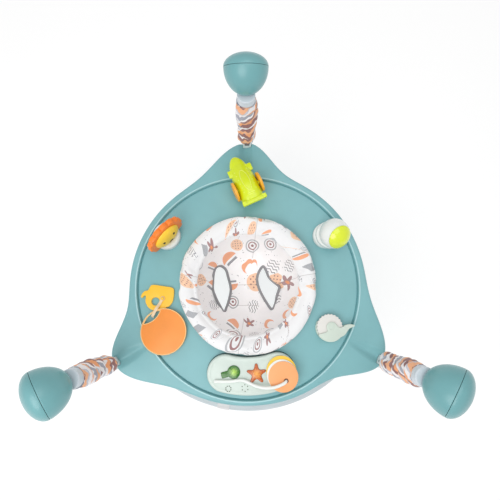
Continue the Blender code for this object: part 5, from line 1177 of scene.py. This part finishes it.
# Snail: a mint body lying on the tray with a thin cover over the lower half of its cream shell, which
# is a toothed wheel that turns on a hub. A coil is moulded into the cover.
SNAIL_PLACE = (across_tray(0.5446), -28.0, 0.0)
SNAIL_RADIUS = 0.036
mint_plastic = moulded("mint_plastic", tint(206, 219, 207), 0.34, 0.05, 0.05)
cream_plastic = moulded("cream_plastic", tint(224, 222, 217), 0.34, 0.04, 0.05)
a = np.linspace(0, 2 * np.pi, 216, endpoint=False)
tooth = SNAIL_RADIUS - 0.0009 + 0.0009 * np.clip(1.6 * np.sin(24 * a), -1, 1)
toothed = circle(1.0, 216) * tooth[:, None]
snail_wheel = plate("snail_wheel", [toothed], 0.0086, 0.0186, SNAIL_PLACE, 0.0010)
dress(snail_wheel, cream_plastic, "snail", "white_plastic", "snail_shell")
belly = [(1.04 * math.cos(t), 1.04 * math.sin(t) - 0.07) for t in np.radians(np.linspace(150, 318, 40))]
head = [(1.00, -0.66), (1.17, -0.52), (1.34, -0.26), (1.46, -0.12), (1.70, -0.02), (1.88, 0.06),
    (1.90, 0.12), (1.84, 0.16), (1.63, 0.21), (1.38, 0.20), (1.17, 0.14), (1.04, 0.06)]
lower = np.array(belly + head + [(1.01, 0.12), (0.28, 0.39), (-0.33, 0.39)]) * SNAIL_RADIUS
snail_floor = plate("snail_floor", [lower], 0.0003, 0.0080, SNAIL_PLACE, 0.0008)
dress(snail_floor, mint_plastic, "tray", "mint_plastic", "snail_body")
inner = [(-0.90, -0.56), (-0.72, -0.49), (-0.46, -0.43), (-0.27, -0.36)]
coil_edge = [(0.14 + 0.41 * math.cos(t), -0.02 + 0.41 * math.sin(t))
    for t in np.radians(np.linspace(216, 22, 34))]
mouth = [(0.98, 0.01), (0.80, -0.03), (0.66, -0.02), (0.58, 0.04)]
cover_line = belly[14:] + head + mouth + coil_edge[::-1] + inner[::-1]
cover = plate("snail_cover", [np.array(cover_line) * SNAIL_RADIUS], 0.0192, 0.0232, SNAIL_PLACE, 0.0010)
dress(cover, mint_plastic, "tray", "mint_plastic")
wall_inside = [(1.022 * math.cos(t), 1.022 * math.sin(t)) for t in np.radians(np.linspace(-2, -139, 44))]
wall_line = np.array(belly[14:] + head + [(1.03, 0.05)] + wall_inside) * SNAIL_RADIUS
wall = plate("snail_wall", [wall_line], 0.0070, 0.0200, SNAIL_PLACE, 0.0004)
dress(wall, mint_plastic, "tray", "mint_plastic")
t = np.linspace(0, 1, 90)
turn, reach = np.radians(-18 + 430 * t), 0.40 * (1 - 0.80 * t)
coil = np.column_stack([0.14 + reach * np.cos(turn), -0.02 + reach * np.sin(turn)]) * SNAIL_RADIUS
coil = np.column_stack([coil, np.full(90, 0.0232)])
dress(shell("snail_coil", placed(swept(coil, 0.0007, 10), *SNAIL_PLACE)), mint_plastic, "tray",
    "mint_plastic")

# Elephant: a flat yellow plate with a round hole and a small post for the strap, moulded in one
# piece and fixed to the tray.
ELEPHANT_PLACE = (across_tray(0.543), 188.0, -6.0)
STRAP_POST = (0.013, -0.002, 0.0)
elephant_yellow = moulded("elephant_yellow", tint(252, 200, 52), 0.34, 0.05, 0.05)
back = [(0.038, 0.030), (0.010, 0.033), (-0.018, 0.034), (-0.026, 0.030), (-0.031, 0.018), (-0.040, 0.014),
        (-0.047, 0.006), (-0.049, -0.004), (-0.044, -0.005), (-0.038, 0.002), (-0.035, -0.003)]
belly = [(-0.004 + 0.032 * math.cos(t), -0.004 + 0.034 * math.sin(t))
    for t in np.radians(np.linspace(195, 280, 6))]
rump = [(0.020, -0.036), (0.026, -0.026), (0.034, -0.022), (0.042, -0.008), (0.043, 0.012)]
outlines = [smooth_loop(back + belly + rump, 5), circle(0.0115, 48, -0.006, -0.012)]
elephant = plate("elephant_plate", outlines, 0.0003, 0.0068, ELEPHANT_PLACE, 0.0009)
dress(elephant, elephant_yellow, "tray", "yellow_plastic", "elephant")
rings = lathed([(0.004, 0.006), (0.004, 0.0110), (0.0034, 0.0118), (0, 0.0118)], 32) + STRAP_POST
dress(shell("strap_post", placed(rings, *ELEPHANT_PLACE)), elephant_yellow, "tray", "yellow_plastic")

# Teether: a soft orange disc with a pale bead round it and round a lens-shaped slot near its edge,
# moulded in one piece. It hangs on the strap and rests on the tray's rim and on the elephant.
TEETHER_PLACE = (across_tray(0.636), 209.0, 0.0)
SLOT_TURN, SLOT_OUT = math.radians(40.0), 0.051
SLOT_LONG, SLOT_WIDE, TEETHER_TOP = 0.058, 0.018, 0.0134
teether_orange = moulded("teether_orange", tint(247, 150, 62), 0.36, 0.08, 0.05)
bead_yellow = moulded("bead_yellow", tint(254, 216, 148), 0.36, 0.05, 0.05)
rim = circle(0.0638, 144)
lens_radius = (SLOT_LONG ** 2 + SLOT_WIDE ** 2) / 4 / SLOT_WIDE
turn = math.asin(SLOT_LONG / 2 / lens_radius) * (1 - np.arange(24) / 12)
half_lens = np.column_stack([np.sin(turn), np.cos(turn) - 1]) * lens_radius + (0, SLOT_WIDE / 2)
lens = turned_flat(np.vstack([half_lens, -half_lens]) + (0, SLOT_OUT), SLOT_TURN)
teether = plate("teether_disc", [rim, lens], 0.0080, TEETHER_TOP, TEETHER_PLACE, 0.0010)
dress(teether, teether_orange, "teether", "orange_plastic", "teether")
for name, outline, grow in (("rim", rim, 0.978), ("slot", lens, 1.035)):
    middle = outline.mean(0)
    path = np.column_stack([middle + (outline - middle) * grow, np.full(len(outline), TEETHER_TOP)])
    bead = shell(f"teether_bead_{name}", placed(looped(path, 0.0011, 12), *TEETHER_PLACE), along=True)
    dress(bead, bead_yellow, "teether", "orange_plastic")

# Link strap: a short flat cotton ribbon, looped round the elephant's post, laid over the teether's
# edge and turned down through its slot. It swings on the post together with the teether.
strap_cotton = woven("strap_cotton", tint(240, 214, 178), tint(222, 190, 152), 0.0010, 0.85, 0.45)
post_at = placed(STRAP_POST, *ELEPHANT_PLACE)
slot_at = placed([*turned_flat((0, SLOT_OUT), SLOT_TURN), 0.0], *TEETHER_PLACE)
run = slot_at - post_at
reach, heading = math.hypot(run[0], run[1]), math.atan2(run[1], run[0])
knots = np.array([(0.0040, 0.0086), (reach * 0.3, 0.0089), (reach - 0.029, 0.0170),
    (reach - 0.0075, 0.0170), (reach - 0.0022, 0.0140), (reach - 0.0010, 0.0096)])
spacing = np.concatenate([[0], np.cumsum(np.linalg.norm(np.diff(knots, axis=0), axis=1))])
t = np.linspace(0, spacing[-1], 90)
line = np.column_stack([np.interp(t, spacing, column) for column in knots.T])
line[4:-4] = sum(line[4 + k:len(line) - 4 + k] for k in range(-4, 5)) / 9
rings = ribbon(line, 0.0080, 0.0019)
rings[..., :2] = turned_flat(rings[..., :2], heading) + post_at[:2]
rings[..., 2] += TRAY_TOP
dress(shell("link_ribbon", rings), strap_cotton, "teether", "peach_plastic", "link_strap")
profile = [(0.0045, 0.0077), (0.0062, 0.0077), (0.0064, 0.0087), (0.0061, 0.0095), (0.0047, 0.0095),
    (0.0045, 0.0087)]
rings = placed(lathed(profile, 48) + STRAP_POST, *ELEPHANT_PLACE)
dress(shell("link_loop", rings, along=True), strap_cotton, "teether", "peach_plastic")

# Light panel: a pale bent housing with a raised edge, screwed to the tray from below, with a green
# bulb button and an orange star button in pockets, a ring of dashes and six speaker holes.
PANEL_ANGLE = 2.0
PANEL_AT, PANEL_WIDE, PANEL_HALF = across_tray(0.493), 0.100, math.radians(16.4)


def on_panel(points):
    """Points measured from the middle of the panel's band, x to the right and y towards the seat, set on
    the tray."""
    points = np.asarray(points, float) - np.array([0, PANEL_AT, 0])
    return turned_to(points, PANEL_ANGLE) + np.array([0, 0, TRAY_TOP])


def band_ring(inset, z):
    """The panel's outline drawn in by inset: two arcs about the seat's axis joined by half circles."""
    half = PANEL_WIDE / 2 - inset
    t, s = np.linspace(-PANEL_HALF, PANEL_HALF, 120), np.linspace(0, np.pi, 46)[1:-1]
    along = np.column_stack([np.sin(t), -np.cos(t)])
    across = np.column_stack([np.sin(s), -np.cos(s)]) * half
    right = turned_flat(across + (0, -PANEL_AT), PANEL_HALF)
    left = turned_flat((0, -PANEL_AT) - across, -PANEL_HALF)
    flat = np.vstack([(PANEL_AT + half) * along, right, (PANEL_AT - half) * along[::-1], left])
    return np.column_stack([flat[:, 0], flat[:, 1] + PANEL_AT, np.full(len(flat), z)])


panel_plastic = moulded("panel_plastic", tint(206, 219, 211), 0.30, 0.04, 0.04, 1200.0, 0.25)
levels = [(PANEL_WIDE / 2, 0.0003), (0.0, 0.0003), (0.0, 0.0150)]
levels += [(0.0062 * (1 - math.cos(t)), 0.0150 + 0.0066 * math.sin(t))
    for t in np.linspace(0.12, np.pi / 2, 12)]
levels += [(0.0072, 0.0217), (0.0084, 0.0216), (0.0094, 0.0213), (0.0110, 0.0211), (0.0200, 0.0214),
    (0.0320, 0.0219), (0.0420, 0.0220), (PANEL_WIDE / 2, 0.0220)]
rings = on_panel([band_ring(*level) for level in levels])
housing = shell("panel_shell", rings, ends=False, crease=60.0)
dress(housing, panel_plastic, "tray", "mint_plastic", "panel_housing")
# Painted shadow: a thin dark teal ring just outside the panel's foot, where the panel meets the tray.
panel_painted_shadow = moulded("panel_painted_shadow", tint(52, 84, 86), 0.7, 0.10, 0.10)
levels = [(0.004, 0.0003), (-0.0016, 0.0003), (-0.0019, 0.0008), (-0.0016, 0.0013), (0.004, 0.0013)]
rings = on_panel([band_ring(*level) for level in levels])
dress(shell("panel_shadow_ring", rings, along=True), panel_painted_shadow, "tray", "mint_plastic")


def panel_plate(name, outlines, low, high, at, ease):
    """A plate over the panel: outlines about a point of its band."""
    x, y = at
    moved = [np.asarray(outline) + (x, y - PANEL_AT) for outline in outlines]
    return plate(name, moved, low, high, (0.0, 0.0, PANEL_ANGLE), ease)


def bulb_line(grow=0.0):
    """A light bulb on its side, its stem 13 degrees below the left, drawn out by grow."""
    radius, half = 0.0170 + grow, 0.0075 + grow
    start = math.pi - math.asin(half / radius)
    points = [(radius * math.cos(t), radius * math.sin(t)) for t in np.linspace(-start, start, 48)]
    end = -0.0340 - grow
    points += [(-0.0200, half), (end + 0.002, half), (end, half - 0.002), (end, -half + 0.002),
        (end + 0.002, -half), (-0.0200, -half)]
    return turned_flat(points, math.radians(13.0))


def star_line(grow=0.0):
    """A five-pointed star with rounded tips and dents, drawn out by grow."""
    tip, dent = 0.0250 + grow, 0.0135 + grow
    corners = []
    for k in range(5):
        a = math.pi / 2 + 2 * math.pi * k / 5
        corners += [(radius * math.cos(a + turn), radius * math.sin(a + turn))
            for radius, turn in ((tip, -0.12), (tip, 0.12), (dent, math.pi / 5))]
    return smooth_loop(corners, 6)


def lamp_plastic(name, rim, core, middle, reach):
    """Clear tinted plastic over a lamp: the colour runs from a light core at middle to the rim's colour at
    reach metres, mottled by small cells."""
    made = bpy.data.materials.new(name)
    made.use_nodes = True
    links, shader = made.node_tree.links, made.node_tree.nodes["Principled BSDF"]
    place = add_node(made, "ShaderNodeTexCoord").outputs["Object"]
    away = add_node(made, "ShaderNodeVectorMath")
    away.operation = "DISTANCE"
    away.inputs[1].default_value = middle
    share = add_node(made, "ShaderNodeMapRange", From_Max=reach)
    facets = add_node(made, "ShaderNodeTexVoronoi", Scale=260.0)
    blend_by = add_node(made, "ShaderNodeMix", Factor=0.28)
    ramp = add_node(made, "ShaderNodeValToRGB")
    ramp.color_ramp.elements[0].position, ramp.color_ramp.elements[1].position = 0.14, 0.66
    ramp.color_ramp.elements[0].color, ramp.color_ramp.elements[1].color = core, rim
    bump = add_node(made, "ShaderNodeBump", Strength=0.25, Distance=0.0004)
    links.new(place, away.inputs[0])
    links.new(place, facets.inputs["Vector"])
    links.new(away.outputs["Value"], share.inputs["Value"])
    links.new(share.outputs["Result"], blend_by.inputs["A"])
    links.new(facets.outputs["Distance"], blend_by.inputs["B"])
    links.new(blend_by.outputs["Result"], ramp.inputs["Fac"])
    links.new(ramp.outputs["Color"], shader.inputs["Base Color"])
    links.new(facets.outputs["Distance"], bump.inputs["Height"])
    links.new(bump.outputs["Normal"], shader.inputs["Normal"])
    shader.inputs["Roughness"].default_value = 0.18
    shader.inputs["Coat Weight"].default_value = 0.5
    return made


BULB_AT, STAR_AT, PIN_AT = (-0.0472, 0.0135), (0.0141, 0.0065), (0.0922, -0.0129)
bulb_middle = on_panel([[*BULB_AT, 0.0240]])[0]
star_middle = on_panel([[*STAR_AT, 0.0240]])[0]
green_lamp = lamp_plastic("green_lamp", tint(40, 108, 6), tint(186, 228, 100), tuple(bulb_middle), 0.018)
orange_lamp = lamp_plastic("orange_lamp", tint(186, 84, 6), tint(252, 178, 88), tuple(star_middle), 0.021)
seam_brown = moulded("seam_brown", tint(122, 84, 44), 0.6, 0.1, 0.05)
seam_green = moulded("seam_green", tint(52, 74, 26), 0.6, 0.1, 0.05)
for name, at, line, lamp_finish, seam, node, body, slot in (
    ("bulb", BULB_AT, bulb_line, green_lamp, seam_green, "bulb_button", "bulb", "green_plastic"),
    ("star", STAR_AT, star_line, orange_lamp, seam_brown, "star_button", "star", "orange_plastic"),
):
    button = panel_plate(f"{name}_lens", [line()], 0.0122, 0.0249, at, 0.0014)
    dress(button, lamp_finish, body, slot, node)
    gap = panel_plate(f"{name}_pocket_edge", [line(0.0007)], 0.0180, 0.02225, at, 0.0001)
    dress(gap, seam, "tray", "mint_plastic")
for number in range(8):
    path = [(-0.0630 + 0.0072 * math.cos(t), -0.0290 + 0.0072 * math.sin(t), 0.02195)
        for t in np.radians(45 * number + np.linspace(8, 34, 7))]
    dash = shell(f"panel_dash_{number + 1}", on_panel(swept(path, 0.0009, 8)))
    dress(dash, seam_green, "tray", "mint_plastic")
profile = [(0, 0.0215), (0.0013, 0.0215), (0.0013, 0.02215), (0.0009, 0.0222), (0, 0.02205)]
for number in range(6):
    a = math.radians(60 * number + 30)
    rings = lathed(profile, 20) + (-0.0185 + 0.0085 * math.cos(a), -0.0290 + 0.0085 * math.sin(a), 0)
    dress(shell(f"speaker_hole_{number + 1}", on_panel(rings), ends=False), seam_green, "tray",
        "mint_plastic")

# Pages: three round discs of moulded plastic, yellow, white and peach, that hang on the rod's end and
# turn about it. The rod is a thick white wire that lies on the panel and hooks down through them.
page_yellow = moulded("page_yellow", tint(253, 204, 62), 0.36, 0.05, 0.05)
page_white = moulded("page_white", tint(236, 240, 236), 0.34, 0.04, 0.05)
page_peach = moulded("page_peach", tint(246, 172, 112), 0.36, 0.05, 0.05)
pin_red = moulded("pin_shadow", tint(112, 44, 30), 0.6, 0.1, 0.05)
for number, (word, radius, offset, finish, slot) in enumerate((
    ("yellow", 0.0405, (-0.0110, 0.0242), page_yellow, "yellow_plastic"),
    ("white", 0.0405, (-0.0102, 0.0149), page_white, "white_plastic"),
    ("peach", 0.0400, (-0.0070, 0.0105), page_peach, "peach_plastic"),
)):
    low = 0.0250 + 0.0030 * number
    outlines = [circle(radius, 160, *offset), circle(0.0042, 32)]
    page = panel_plate(f"page_disc_{word}", outlines, low, low + 0.0024, PIN_AT, 0.0006)
    dress(page, finish, f"{word}_page", slot, f"page_{word}")
profile = [(0.0063, 0.0330), (0.0063, 0.0337), (0.0056, 0.0342), (0.0046, 0.0338), (0.0046, 0.0330)]
ring = shell("pin_edge", on_panel(lathed(profile, 40) + (*PIN_AT, 0)), along=True)
dress(ring, pin_red, "peach_page", "peach_plastic")
route = np.array([
    (-0.1010, -0.0075, 0.0265), (-0.0610, -0.0092, 0.0272), (-0.0240, -0.0080, 0.0277),
    (0.0010, -0.0190, 0.0292), (0.0190, -0.0250, 0.0342), (0.0400, -0.0275, 0.0398),
    (0.0620, -0.0262, 0.0398), (0.0800, -0.0205, 0.0398), (0.0890, -0.0160, 0.0378),
    (*PIN_AT, 0.0343), (*PIN_AT, 0.0223),
])
t = np.linspace(0, len(route) - 1.001, 260)
k = np.minimum(t.astype(int), len(route) - 2)
f = (t - k)[:, None]
before, after = route[np.maximum(k - 1, 0)], route[np.minimum(k + 2, len(route) - 1)]
way = catmull_rom(before, route[k], route[k + 1], after, f)
thick = np.interp(t, [0, 8.2, 9.2, 10], [0.0042, 0.0042, 0.0030, 0.0030])
thick[0], thick[1], thick[2] = 0.0018, 0.0032, 0.0039
rod = shell("page_wire", on_panel(swept(way, thick, 28)))
dress(rod, page_white, "tray", "white_plastic", "page_rod")
